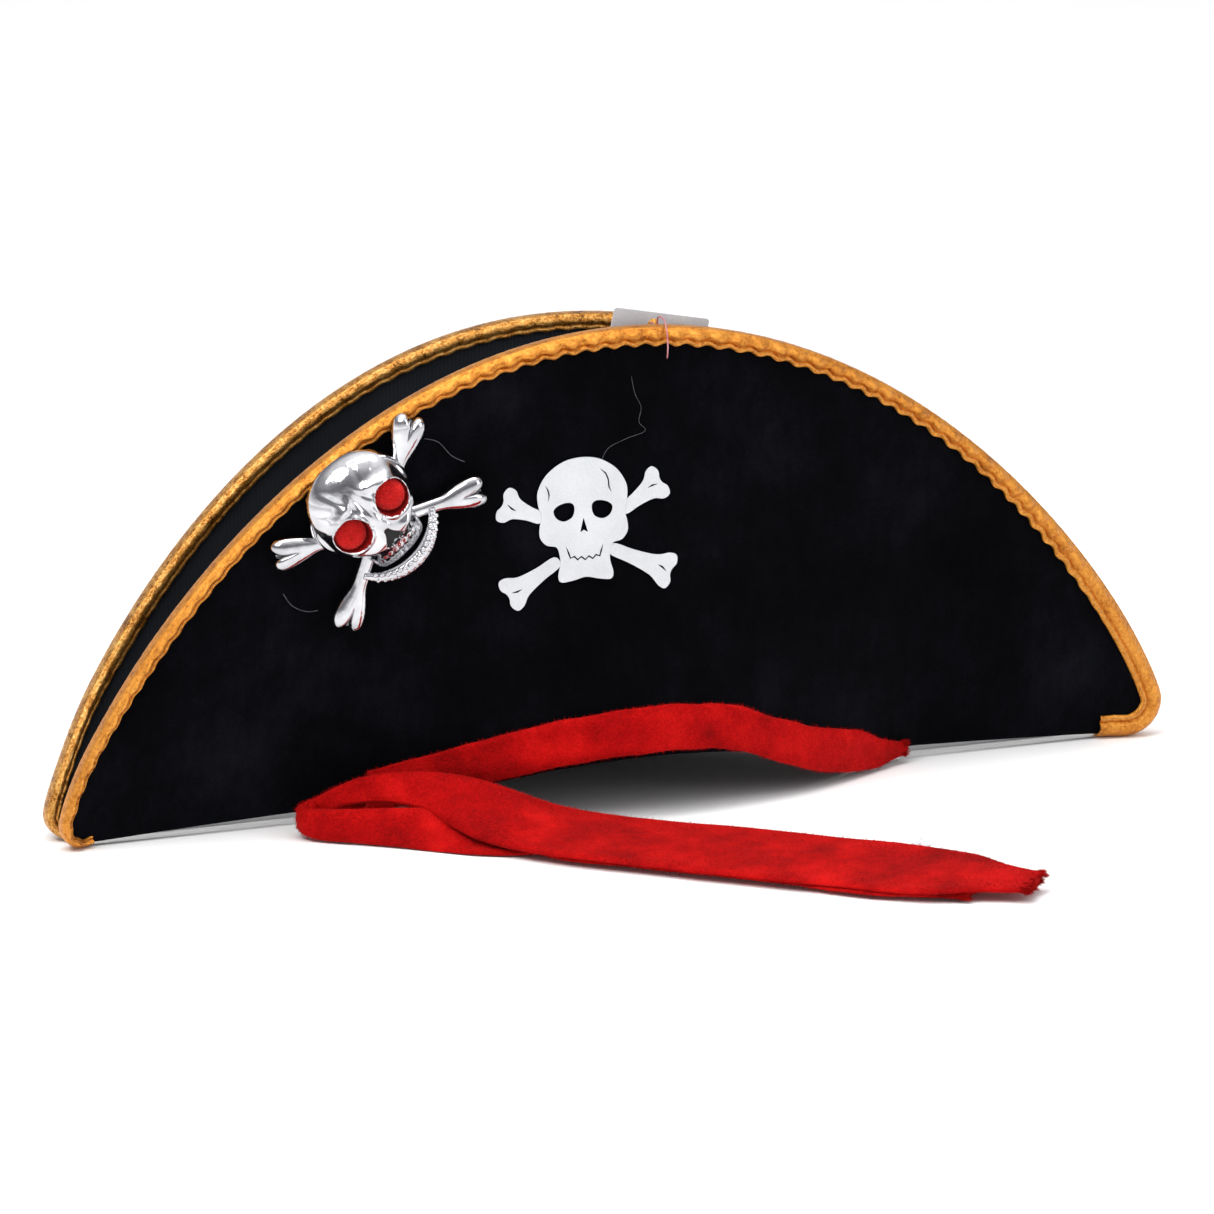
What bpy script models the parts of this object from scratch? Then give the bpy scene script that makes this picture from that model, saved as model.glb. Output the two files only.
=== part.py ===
"""A black velvet pirate hat whose brim is turned up front and back, as separate pieces.

Metres, +Z up. The hat stands as it is worn. The origin is under the middle of the head
opening, on the surface that the hat rests on. -Y is the front and +X the wearer's left.

Most pieces follow the turned-up brim, so a place on it is given as (x, z, depth): where it
is seen from the front, and how far it lies outside the middle of the brim's stiffener.
"""

import math

import bmesh
import bpy
from mathutils import Vector

FRONT, BACK = -1, 1
LEFT, RIGHT = -1, 1

# Driving dimensions of the brim
TIP_TO_TIP = 0.480
HEIGHT = {FRONT: 0.199, BACK: 0.186}
TOP_SPREAD = {FRONT: 0.028, BACK: 0.051}  # brim edge to the hat's middle plane, at the top
TIP_SPREAD = {FRONT: 0.009, BACK: 0.012}  # the same at the tips
TIP_RADIUS = {LEFT: 0.009, RIGHT: 0.015}
CREASE_INSET = {LEFT: 0.013, RIGHT: 0.026}  # from the tip to where the two halves join
BRIM_FULLNESS = 0.8  # power of the edge's curve: lower is fuller
BRIM_LEAN = -0.035  # the soft brim leans this share of its height towards the left tip
CREASE_RISE = 0.006  # the joined lower edge rises this much towards the head

# Driving dimensions of the head opening and the crown
HEAD_HALF_LENGTH = 0.132
HEAD_HALF_WIDTH = 0.050
ARCH_HALF_LENGTH = 0.112
FACE_ARCH_RISE = 0.0215  # the front lifts this far above the face; the back meets the floor
CROWN_HEIGHT = 0.102
CROWN_STAND_OFF = 0.008  # from the brim at the crown's top
CROWN_FOOT = 0.003
SWEATBAND_HEIGHT = 0.028

# Thicknesses of cloth, foam, board and film
GAP = 0.0003
CORE = 0.0020
VELVET = 0.0010
LINING = 0.0008
BINDING = 0.0007
CROWN_CLOTH = 0.0012
CROWN_LINING = 0.0008
SWEATBAND = 0.0012
THREAD_RADIUS = 0.0003

# The gold edge binding
BINDING_FACE = 0.0080
BINDING_INSIDE = 0.0065
STITCH_INSET = 0.0012  # from the binding's raw edge to its row of stitches

# The sash
BAND_WIDTH = 0.0180
BAND_THICKNESS = 0.0030
BAND_ENDS = (-0.112, 0.126)
TAIL_WIDTH = 0.056
TAIL_THICKNESS = 0.0040
TAIL_ROUND = 0.0210  # radius of a tail's gathered end, about its pivot
TAIL_PIVOT = Vector((-0.0575, -0.0740, 0.0))
TAIL_HEADING = math.radians(-42.5)
UPPER_TAIL_LENGTH = 0.210
LOWER_TAIL_LENGTH = 0.186
LABEL_AT, LABEL_WIDTH, LABEL_LENGTH = 0.146, 0.009, 0.010

# The moulded badge and the printed emblem, each about its own middle
BADGE_AT_X = -0.1105
BADGE_BELOW_EDGE = 0.0366  # from the brim's cut edge down to the badge's middle
BADGE_TURN = math.radians(43.3)
BONE_LENGTH = 0.0415  # from the badge's middle to the middle of a bone's end
BONE_SLANT = math.radians(29.0)
BONE_HALF_WIDTH = 0.0034
KNUCKLE_RADIUS = 0.0044
BONE_THICKNESS = 0.0050
BONE_PLATE = 0.0020  # the bones under the skull
BONE_PLATE_RADIUS = 0.0290
SKULL_RELIEF = 0.0130
EYE_RADIUS = 0.0072
EYE_AT = (0.0110, 0.0095)
PRINT_AT_X = -0.0245
PRINT_BELOW_EDGE = 0.0768
PRINT_FILM = 0.00025

# The hang tag
TAG_WIDTH, TAG_HEIGHT, TAG_BOARD = 0.042, 0.075, 0.0006
TAG_HOLE_RADIUS = 0.0025
TAG_HOLE_INSET = 0.0065
TAG_HOLE_DROP = 0.0015  # the hole hangs this far below the brim's edge
TAG_AT_X = 0.0125
TAG_TILT = math.radians(-12.0)

COLUMN_PITCH = 0.0133  # the brim's sheets have a column about this often
COLUMNS, ROWS = 2 * round(TIP_TO_TIP / COLUMN_PITCH / 2), 6
LAST_COLUMN = 0.985  # the brim's layers stop this share of the way into the rounded tips


# ---------------------------------------------------------------- shapes and materials


def material(name, colour, roughness, metallic=0.0):
    """A Principled material with one colour."""
    made = bpy.data.materials.get(name) or bpy.data.materials.new(name)
    made.use_nodes = True
    shader = made.node_tree.nodes["Principled BSDF"]
    shader.inputs["Base Color"].default_value = (*colour, 1.0)
    shader.inputs["Roughness"].default_value = roughness
    shader.inputs["Metallic"].default_value = metallic
    made.diffuse_color = (*colour, 1.0)
    return made


def add_object(name, shape, finish):
    """The object made of a bmesh, its faces turned outwards and its round parts smooth."""
    bmesh.ops.recalc_face_normals(shape, faces=shape.faces)
    if shape.calc_volume(signed=True) < 0:
        bmesh.ops.reverse_faces(shape, faces=shape.faces)
    mesh = bpy.data.meshes.new(name)
    shape.to_mesh(mesh)
    shape.free()
    mesh.shade_smooth()
    mesh.set_sharp_from_angle(angle=math.radians(40.0))
    mesh.materials.append(finish)
    made = bpy.data.objects.new(name, mesh)
    bpy.context.scene.collection.objects.link(made)
    return made


def add_leaning_pair(shape, a, b, c, d):
    """Two triangles for four corners, split the same way on sheets that lie side by side."""

    def lean(start, end):
        reach = end.co - start.co
        return (reach.x + 0.4 * reach.y) * reach.z

    if lean(a, c) > lean(b, d):
        triangles = ((a, b, c), (a, c, d))
    else:
        triangles = ((a, b, d), (b, c, d))
    for corners in triangles:
        shape.faces.new(corners)


def loft(name, rings, finish, closed=False):
    """A skin through rings of points, capped at both ends unless it closes on itself."""
    shape = bmesh.new()
    rows = [[shape.verts.new(point) for point in ring] for ring in rings]
    pairs = list(zip(rows, rows[1:]))
    if closed:
        pairs.append((rows[-1], rows[0]))
    for low, high in pairs:
        for i in range(len(low)):
            add_leaning_pair(shape, low[i], low[(i + 1) % len(low)], high[(i + 1) % len(low)], high[i])
    if not closed:
        shape.faces.new(rows[0])
        shape.faces.new(rows[-1])
    return add_object(name, shape, finish)


def plate(name, outlines, low, high, place, finish):
    """A flat sheet between two depths; outlines after the first are holes in it."""
    shape = bmesh.new()
    edges = []
    for outline in outlines:
        corners = [shape.verts.new((a, b, 0.0)) for a, b in outline]
        for i, corner in enumerate(corners):
            edges.append(shape.edges.new((corner, corners[(i + 1) % len(corners)])))
    bmesh.ops.triangle_fill(shape, use_beauty=True, use_dissolve=False, edges=edges)
    flat = [tuple(corner.index for corner in face.verts) for face in indexed(shape).faces]
    points = [(vert.co.x, vert.co.y) for vert in shape.verts]
    rims = [tuple(vert.index for vert in edge.verts) for edge in shape.edges if edge.is_boundary]
    shape.free()
    solid = bmesh.new()
    under = [solid.verts.new(place(a, b, low)) for a, b in points]
    over = [solid.verts.new(place(a, b, high)) for a, b in points]
    for corners in flat:
        solid.faces.new([under[i] for i in corners])
        solid.faces.new([over[i] for i in reversed(corners)])
    for i, j in rims:
        solid.faces.new((under[i], under[j], over[j], over[i]))
    return add_object(name, solid, finish)


def indexed(shape):
    """The same bmesh with its indices up to date."""
    shape.verts.index_update()
    shape.verts.ensure_lookup_table()
    return shape


def cut(target, cutter):
    """Take a hidden cutter away from a piece."""
    cutter.hide_render = True
    cutter.display_type = "WIRE"
    boolean = target.modifiers.new("cut", "BOOLEAN")
    boolean.operation = "DIFFERENCE"
    boolean.solver = "EXACT"
    boolean.object = cutter


def smooth_step(value):
    """0 below 0, 1 above 1, and an even rise between."""
    value = min(1.0, max(0.0, value))
    return value * value * (3.0 - 2.0 * value)


def curve_through(points, steps, closed=False):
    """Points along a smooth curve through the given ones (Catmull-Rom)."""
    points = [Vector(point) for point in points]
    count = len(points)
    made = []
    for i in range(count if closed else count - 1):
        if closed:
            a, b, c, d = (points[(i + k) % count] for k in (-1, 0, 1, 2))
        else:
            a, b, c, d = (points[min(count - 1, max(0, i + k))] for k in (-1, 0, 1, 2))
        for step in range(steps):
            t = step / steps
            made.append(
                0.5 * (2 * b + (c - a) * t + (2 * a - 5 * b + 4 * c - d) * t**2
                       + (3 * b - a - 3 * c + d) * t**3)
            )
    if not closed:
        made.append(points[-1])
    return made


def tube(name, points, radius, finish):
    """A round thread or pin along points, with closed ends."""
    curve = bpy.data.curves.new(name, "CURVE")
    curve.dimensions = "3D"
    curve.bevel_depth = radius
    curve.bevel_resolution = 2
    curve.use_fill_caps = True
    spline = curve.splines.new("POLY")
    spline.points.add(len(points) - 1)
    for point, place in zip(spline.points, points):
        point.co = (*place, 1.0)
    curve.materials.append(finish)
    made = bpy.data.objects.new(name, curve)
    bpy.context.scene.collection.objects.link(made)
    return made


# ---------------------------------------------------------------- the brim as a surface

VELVET_IN = CORE / 2 + GAP
VELVET_OUT = VELVET_IN + VELVET
LINING_OUT = CORE / 2 + GAP + LINING
BINDING_IN = VELVET_OUT + 1.5 * GAP
BINDING_OUT = BINDING_IN + BINDING
BINDING_WRAP = GAP + BINDING  # how far the binding stands past the brim's cut edge
BINDING_LINING_SIDE = LINING_OUT + 1.5 * GAP + BINDING
CREASE_HALF_WIDTH = BINDING_LINING_SIDE * 1.25 + GAP
HALF = TIP_TO_TIP / 2 - BINDING_WRAP
LOBE_SPREAD = 0.004  # the two lobes of a tip lean apart
SOFT_FOLD = 0.060  # the brim leaves the crease over at least this height


def side_of(x):
    return RIGHT if x > 0 else LEFT


def top_at(side, x):
    """Height of the brim's cut edge."""
    radius = TIP_RADIUS[side_of(x)]
    share = max(0.0, 1.0 - (x / HALF) ** 2)
    full = HEIGHT[side] - 2 * BINDING_WRAP - radius
    return BINDING_WRAP + radius + full * share**BRIM_FULLNESS


def arch_at(x):
    """The share of the arch's full rise at a place along the head."""
    return max(0.0, 1.0 - (x / ARCH_HALF_LENGTH) ** 2) ** 1.2


def low_at(side, x):
    """Height of the brim's lower edge: a long crease, and an arch over the face."""
    reach = HALF - TIP_RADIUS[side_of(x)]
    crease = CREASE_RISE * max(0.0, 1.0 - (x / reach) ** 2)
    rise = FACE_ARCH_RISE if side == FRONT else -(BINDING_WRAP + CREASE_RISE)
    return BINDING_WRAP + crease + arch_at(x) * rise


def spread_at(side, x, z):
    """Distance of the brim's middle from the hat's middle plane."""
    head = max(0.0, 1.0 - (x / HEAD_HALF_LENGTH) ** 2) ** 1.4
    crease_end = HALF - CREASE_INSET[side_of(x)]
    lobe = smooth_step((abs(x) - crease_end) / (HALF - crease_end))
    low = CREASE_HALF_WIDTH + HEAD_HALF_WIDTH * head + LOBE_SPREAD * lobe
    top = TOP_SPREAD[side] + (TIP_SPREAD[side] - TOP_SPREAD[side]) * (x / HALF) ** 2
    rise = min(1.0, max(0.0, z / max(top_at(side, x), SOFT_FOLD)))
    return low + (top - low) * math.sin(rise * math.pi / 2)


def stretch_at(side, x, z, step=0.0005):
    """How much further a depth reaches along Y than square to the sloping brim."""
    across = (spread_at(side, x + step, z) - spread_at(side, x - step, z)) / (2 * step)
    upward = (spread_at(side, x, z + step) - spread_at(side, x, z - step)) / (2 * step)
    return math.sqrt(1.0 + across**2 + upward**2)


def on_brim(side, x, z, depth):
    """The point at a depth outside the middle of the brim."""
    return Vector((x, side * (spread_at(side, x, z) + depth * stretch_at(side, x, z)), z))


def edge_top(side, share):
    """The upper edge of the brim, from the left tip at -1 to the right tip at 1."""
    x = HALF * math.sin(share * math.pi / 2)
    z = top_at(side, x)
    return x + BRIM_LEAN * (z - top_at(side, math.copysign(HALF, share))), z


def edge_low(side, share):
    """The lower edge below that point, which rounds up into the tips."""
    x = HALF * math.sin(share * math.pi / 2)
    radius = TIP_RADIUS[side_of(x)]
    start = math.asin((HALF - radius) / HALF) / (math.pi / 2)
    if abs(share) <= start:
        return x, low_at(side, x)
    turn = (abs(share) - start) / (1.0 - start) * math.pi / 2
    reach = HALF - radius + radius * math.sin(turn)
    return math.copysign(reach, share), BINDING_WRAP + radius * (1.0 - math.cos(turn))


# ---------------------------------------------------------------- the pieces


def column_shares():
    """Where the brim's sheets have their columns, closer together towards the tips."""
    evenly = [2.0 * i / COLUMNS - 1.0 for i in range(COLUMNS + 1)]
    return [LAST_COLUMN * (v + math.sin(v * math.pi / 2)) / 2 for v in evenly]


def brim_layer(name, side, inner, outer, lift, finish):
    """One sheet of the brim between two depths, its foot lifted clear of the floor."""
    rings = []
    for share in column_shares():
        x_low, z_low = edge_low(side, share)
        x_top, z_top = edge_top(side, share)
        foot = min(lift, (z_top - z_low) / 4)
        places = []
        for row in range(ROWS + 1):
            t = row / ROWS
            places.append((x_low + (x_top - x_low) * t,
                           z_low + (z_top - z_low) * t + foot * (1.0 - t)))
        ring = [on_brim(side, x, z, outer) for x, z in places]
        ring += [on_brim(side, x, z, inner) for x, z in reversed(places)]
        rings.append(ring)
    loft(name, rings, finish)


def edge_stations(side):
    """Places along the bound edge with the way inwards: lobe, over the top, lobe."""
    lobes = {}
    for end in (LEFT, RIGHT):
        start = HALF - CREASE_INSET[end]
        low = [edge_low(side, share) for share in column_shares() if share * end > 0]
        lobes[end] = [place for place in low if abs(place[0]) > start + 0.001]
        lobes[end].sort(key=lambda place: abs(place[0]))
        lobes[end].insert(0, (end * start, low_at(side, end * start)))
        lobes[end].append(edge_top(side, end))
    places = lobes[LEFT] + [edge_top(side, share) for share in column_shares()]
    places += reversed(lobes[RIGHT])
    stations = []
    for i, (x, z) in enumerate(places):
        before = places[max(0, i - 1)]
        after = places[min(len(places) - 1, i + 1)]
        along = Vector((after[0] - before[0], after[1] - before[1])).normalized()
        clear_of_tip = smooth_step((x + HALF) / (4 * BINDING_FACE) - 0.25)
        face = BINDING_FACE * (0.62 + 0.38 * clear_of_tip)
        stations.append((Vector((x, z)), Vector((along.y, -along.x)), face))
    return stations


def edge_binding(name, side, finish):
    """The gold strip folded round the brim's cut edge, U-shaped in section."""
    corner = BINDING + GAP
    rings = []
    for place, inward, face in edge_stations(side):
        inside = BINDING_INSIDE * face / BINDING_FACE
        section = (
            (face, BINDING_IN),
            (face, BINDING_OUT),
            (0.0, BINDING_OUT),
            (-BINDING_WRAP, BINDING_OUT - corner),
            (-BINDING_WRAP, corner - BINDING_LINING_SIDE),
            (0.0, -BINDING_LINING_SIDE),
            (inside, -BINDING_LINING_SIDE),
            (inside, BINDING - BINDING_LINING_SIDE),
            (-GAP, BINDING - BINDING_LINING_SIDE),
            (-GAP, BINDING_IN),
        )
        rings.append([on_brim(side, *(place + inward * reach), depth) for reach, depth in section])
    loft(name, rings, finish)


def binding_stitches(name, side, finish):
    """The row of thread that holds the binding, just in from its raw edge."""
    depth = BINDING_OUT + GAP + THREAD_RADIUS
    points = [on_brim(side, *(place + inward * (face - STITCH_INSET)), depth)
              for place, inward, face in edge_stations(side)]
    tube(name, points, THREAD_RADIUS, finish)


CROWN_AROUND = 40


def crown_contour(z, inset):
    """The crown's outline this far inside its outer face, at a height that follows the arch."""
    share = z / CROWN_HEIGHT
    length = HEAD_HALF_LENGTH - 0.017 - 0.018 * share
    clear = LINING_OUT + GAP
    outline = []
    heights = []
    for i in range(CROWN_AROUND):
        turn = 2 * math.pi * i / CROWN_AROUND
        x = length * math.cos(turn)
        side = BACK if math.sin(turn) >= 0 else FRONT
        lift = FACE_ARCH_RISE * arch_at(x) * (1.0 - share) if side == FRONT else 0.0
        heights.append(z + lift)
        face = side * on_brim(side, x, z + lift, -clear).y
        reach = (face - GAP - CROWN_STAND_OFF * share) * math.sqrt(1.0 - math.cos(turn) ** 16)
        outline.append(Vector((x, side * reach)))
    moved = []
    for i, (point, height) in enumerate(zip(outline, heights)):
        along = outline[(i + 1) % CROWN_AROUND] - outline[i - 1]
        inwards = Vector((-along.y, along.x)).normalized()
        moved.append((point + inwards * inset).to_3d() + Vector((0.0, 0.0, height)))
    return moved


def ring_wall(name, heights, inset, thickness, finish):
    """A wall round the head, open at the top and the bottom."""
    rings = [crown_contour(z, inset) for z in heights]
    rings += [crown_contour(z, inset + thickness) for z in reversed(heights)]
    loft(name, rings, finish, closed=True)


def make_crown(cloth, lining, leather):
    heights = [CROWN_FOOT + (CROWN_HEIGHT - CROWN_FOOT) * i / 4 for i in range(5)]
    ring_wall("crown_side", heights, 0.0, CROWN_CLOTH, cloth)
    top = [crown_contour(CROWN_HEIGHT, 0.0), crown_contour(CROWN_HEIGHT, 0.0)]
    for ring, lift in zip(top, (GAP, GAP + CROWN_CLOTH)):
        for point in ring:
            point.z += lift
    loft("crown_tip", top, cloth)

    inset = CROWN_CLOTH + GAP
    inner = inset + CROWN_LINING
    ceiling = CROWN_HEIGHT - GAP
    under = ceiling - CROWN_LINING
    rising = [CROWN_FOOT + 0.0005 + (under - CROWN_FOOT) * i / 4 for i in range(4)]
    rings = [crown_contour(z, inner) for z in reversed(rising + [under])]
    rings += [crown_contour(z, inset) for z in rising + [ceiling]]
    loft("crown_lining", rings, lining)

    band = [CROWN_FOOT + 0.0005, CROWN_FOOT + SWEATBAND_HEIGHT / 2, CROWN_FOOT + SWEATBAND_HEIGHT]
    ring_wall("sweatband", band, inner + 2.5 * GAP, SWEATBAND, leather)


def band_edges(x):
    """The sash band's lower and upper edges, which sag past the arch near its right end."""
    sag = 0.008 * math.sin(math.pi * min(1.0, max(0.0, (x - 0.020) / 0.120))) ** 2
    low = low_at(FRONT, x) - 0.0005 - sag
    narrow = 1.0 - 0.68 * smooth_step((x - 0.095) / 0.033)
    return low, low + BAND_WIDTH * narrow


def make_band(finish):
    rings = []
    steps = 26
    near = BINDING_IN + 2 * GAP
    for i in range(steps + 1):
        x = BAND_ENDS[0] + (BAND_ENDS[1] - BAND_ENDS[0]) * i / steps
        low, high = band_edges(x)
        bevel = BAND_THICKNESS / 2
        section = ((low, near + bevel), (low + bevel, near), (high - bevel, near),
                   (high, near + bevel), (high - bevel, near + BAND_THICKNESS),
                   (low + bevel, near + BAND_THICKNESS))
        rings.append([on_brim(FRONT, x, z, depth) for z, depth in section])
    loft("sash_band", rings, finish)


def strip_ring(centre, heading, width, low, high):
    """An eight-sided section of a soft strip, standing across its heading."""
    across = Vector((-math.sin(heading), math.cos(heading), 0.0))
    bevel = min((high - low) * 0.3, width * 0.3)
    half = width / 2
    section = ((-half, low + bevel), (-half + bevel, low), (half - bevel, low), (half, low + bevel),
               (half, high - bevel), (half - bevel, high), (-half + bevel, high),
               (-half, high - bevel))
    return [Vector((centre[0], centre[1], 0.0)) + across * a + Vector((0, 0, z)) for a, z in section]


def make_knot(finish):
    """The folded loop of the sash in front of the hat, from the band to the tails."""
    stations = (
        (-0.1385, -0.0215, -30, 0.008, 0.002, 0.010),
        (-0.1300, -0.0260, -32, 0.011, 0.0008, 0.0170),
        (-0.1180, -0.0330, -34, 0.014, 0.0005, 0.0225),
        (-0.1060, -0.0430, -38, 0.018, 0.0003, 0.0250),
        (-0.0940, -0.0530, -40, 0.022, 0.0003, 0.0230),
        (-0.0840, -0.0590, -41, 0.026, 0.0003, 0.0190),
    )
    rings = [strip_ring((x, y), math.radians(turn), width, low, high)
             for x, y, turn, width, low, high in stations]
    end = tail_place(-TAIL_ROUND - 0.0020, 0.0)
    rings.append(strip_ring(end, TAIL_HEADING, 0.020, 0.0010, 0.0150))
    loft("sash_knot", rings, finish)


def tail_place(along, across):
    """A place on the floor: along the tails from their pivot, and across them."""
    ahead = Vector((math.cos(TAIL_HEADING), math.sin(TAIL_HEADING), 0.0))
    aside = Vector((-ahead.y, ahead.x, 0.0))
    return TAIL_PIVOT + ahead * along + aside * across


def make_tail(name, length, shift, low, finish):
    """A strip that lies on the floor, gathered round at the knot and pointed at its end."""
    rings = []
    for along in (-0.95, -0.75, -0.4, 0.0, 0.9, 1.9, 2.9, 3.9, 4.9, 5.9, 6.7, 7.4, 8.0):
        if along <= 0:
            width = 2 * TAIL_ROUND * math.sqrt(1.0 - along**2)
            reach = along * TAIL_ROUND
        else:
            reach = length * along / 8.0
            width = 2 * TAIL_ROUND + (TAIL_WIDTH - 2 * TAIL_ROUND) * min(1.0, along / 3)
            width *= 1.0 - 0.8 * smooth_step((along - 5.6) / 2.4)
        drift = shift * smooth_step(along / 4.0)
        rings.append(strip_ring(tail_place(reach, drift), TAIL_HEADING, width,
                                low, low + TAIL_THICKNESS))
    loft(name, rings, finish)


def make_care_label(finish):
    """A blank woven label sewn to the far edge of the upper tail."""
    near, far = TAIL_WIDTH / 2 + GAP, TAIL_WIDTH / 2 + LABEL_LENGTH
    start, end = LABEL_AT, LABEL_AT + LABEL_WIDTH
    level = 1.5 * TAIL_THICKNESS + 2 * GAP
    plate("care_label", [((start, near), (end, near), (end, far), (start, far))], level, level + 0.0004,
          lambda a, b, h: tail_place(a, b) + Vector((0, 0, h)), finish)


def badge_at():
    """The middle of the badge on the front of the brim, as (x, z)."""
    return BADGE_AT_X, top_at(FRONT, BADGE_AT_X) - BADGE_BELOW_EDGE


class BadgePlane:
    """The flat plane that the moulded badge lies in, just clear of velvet and binding."""

    def __init__(self):
        x, z = badge_at()
        step = 0.004
        across = on_brim(FRONT, x + step, z, 0) - on_brim(FRONT, x - step, z, 0)
        upward = on_brim(FRONT, x, z + step, 0) - on_brim(FRONT, x, z - step, 0)
        self.out = across.cross(upward).normalized()
        level = across.normalized()
        rise = self.out.cross(level)
        self.right = level * math.cos(BADGE_TURN) + rise * math.sin(BADGE_TURN)
        self.up = self.out.cross(self.right)
        self.origin = on_brim(FRONT, x, z, BINDING_OUT)
        self.origin += self.out * (GAP + self.highest_cloth())

    def highest_cloth(self):
        """How far the cloth under the badge stands above the plane through its middle."""
        highest = 0.0
        for reach in (0.5, 0.8, 1.0, 1.12):
            for i in range(24):
                turn = 2 * math.pi * i / 24
                spot = self.at(BONE_LENGTH * reach * math.cos(turn), BONE_LENGTH * reach * math.sin(turn), 0)
                if spot.z < top_at(FRONT, spot.x):
                    cloth = on_brim(FRONT, spot.x, spot.z, BINDING_OUT)
                    highest = max(highest, (cloth - spot).dot(self.out))
        return highest

    def at(self, right, up, out):
        return self.origin + self.right * right + self.up * up + self.out * out


def bone_outline(start, end, half_width, knuckle, both_ends):
    """A straight bone with two round knuckles at its end, or at both."""
    start, end = Vector(start), Vector(end)
    ahead = (end - start).normalized()
    aside = Vector((-ahead.y, ahead.x))

    def knuckles(tip, way):
        turned = [tip - (ahead * 1.5 * knuckle + aside * half_width) * way]
        for hand, first, last in ((-1, -140, 40), (1, -40, 140)):
            middle = tip + aside * (hand * way * knuckle * 0.85)
            for step in range(6):
                angle = math.radians(first + (last - first) * step / 5)
                turned.append(middle + (ahead * math.cos(angle) + aside * math.sin(angle)) * way * knuckle)
        turned.append(tip - (ahead * 1.5 * knuckle - aside * half_width) * way)
        return turned

    outline = knuckles(end, 1)
    if both_ends:
        outline += knuckles(start, -1)
    else:
        outline += [start + aside * half_width, start - aside * half_width]
    return [point.to_tuple() for point in outline]


def make_crossbones(plane, finish):
    """Two bones crossed, one plate, thin where the skull sits on them."""
    bones = []
    for hand, sink in ((-1, 0.0), (1, 0.0001)):
        end = Vector((BONE_LENGTH * math.cos(BONE_SLANT), hand * BONE_LENGTH * math.sin(BONE_SLANT)))
        outline = bone_outline(-end, end, BONE_HALF_WIDTH, KNUCKLE_RADIUS, True)
        bones.append(plate(f"bone_{hand}", [outline], sink, BONE_THICKNESS - sink, plane.at, finish))
    whole, other = bones
    whole.name = "badge_crossbones"
    other.name = "crossing_bone"
    other.hide_render = True
    other.display_type = "WIRE"
    join = whole.modifiers.new("join", "BOOLEAN")
    join.operation = "UNION"
    join.solver = "EXACT"
    join.object = other
    circle = [(BONE_PLATE_RADIUS * math.cos(math.tau * i / 40),
               BONE_PLATE_RADIUS * math.sin(math.tau * i / 40)) for i in range(40)]
    cut(whole, plate("crossbones_cutter", [circle], BONE_PLATE, 2 * BONE_THICKNESS, plane.at, finish))


SKULL_OUTLINE = ((0.0, 34.0), (12.5, 31.0), (20.5, 23.0), (23.0, 12.0), (19.5, 2.0),
                 (14.0, -4.0), (12.0, -13.0), (6.0, -16.0), (0.0, -16.5))


def skull_outline(share):
    """The skull's outline about its own middle, shrunk by a share."""
    half = [Vector((a, b)) / 1000 for a, b in SKULL_OUTLINE]
    whole = half + [Vector((-point.x, point.y)) for point in reversed(half[1:-1])]
    middle = Vector((0.0, 0.008))
    return [middle + (point - middle) * share for point in curve_through(whole, 2, closed=True)]


def make_skull(plane, finish):
    """The domed skull, with pits for the eyes and the nose."""
    base = BONE_PLATE + GAP
    rings = [[plane.at(*point, base) for point in skull_outline(1.0)]]
    for step in range(7):
        turn = math.radians(88.0) * step / 6
        height = base + 0.0015 + SKULL_RELIEF * math.sin(turn)
        rings.append([plane.at(*point, height) for point in skull_outline(math.cos(turn))])
    skull = loft("badge_skull", rings, finish)
    pit_floor = base + 0.0045
    for hand in (-1, 1):
        pit = [(hand * EYE_AT[0] + EYE_RADIUS * math.cos(math.tau * i / 20),
                EYE_AT[1] + EYE_RADIUS * math.sin(math.tau * i / 20)) for i in range(20)]
        cut(skull, plate(f"eye_cutter_{hand}", [pit], pit_floor, 2 * SKULL_RELIEF, plane.at, finish))
    nose = [(0.0, 0.0012), (0.0040, -0.0068), (0.0, -0.0054), (-0.0040, -0.0068)]
    cut(skull, plate("nose_cutter", [nose], pit_floor, 2 * SKULL_RELIEF, plane.at, finish))
    return pit_floor


def make_eyes(plane, pit_floor, finish):
    """A felt disc glued into each eye pit."""
    radius = EYE_RADIUS - 2 * GAP
    for name, hand in (("badge_eye_left", -1), ("badge_eye_right", 1)):
        rings = []
        for share, height in ((1.0, 0.0), (1.0, 0.0022), (0.8, 0.0040), (0.35, 0.0050)):
            rings.append([plane.at(hand * EYE_AT[0] + radius * share * math.cos(math.tau * i / 20),
                                   EYE_AT[1] + radius * share * math.sin(math.tau * i / 20),
                                   pit_floor + GAP + height) for i in range(20)])
        loft(name, rings, finish)


def make_jaw(plane, finish):
    """The lower jaw, a curved strip below the open mouth."""
    base = BONE_PLATE + GAP
    rings = []
    for step in range(13):
        share = step / 12
        turn = math.radians(-148 + 116 * share)
        half = 0.0014 + 0.0020 * math.sin(math.pi * share)
        tall = 0.0030 + 0.0030 * math.sin(math.pi * share)
        section = ((-half, 0.0), (half, 0.0), (half, tall * 0.6), (half * 0.4, tall),
                   (-half * 0.4, tall), (-half, tall * 0.6))
        radius = 0.0228
        rings.append([plane.at((radius + a) * math.cos(turn), 0.002 + (radius + a) * math.sin(turn),
                               base + h) for a, h in section])
    loft("badge_jaw", rings, finish)


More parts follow.
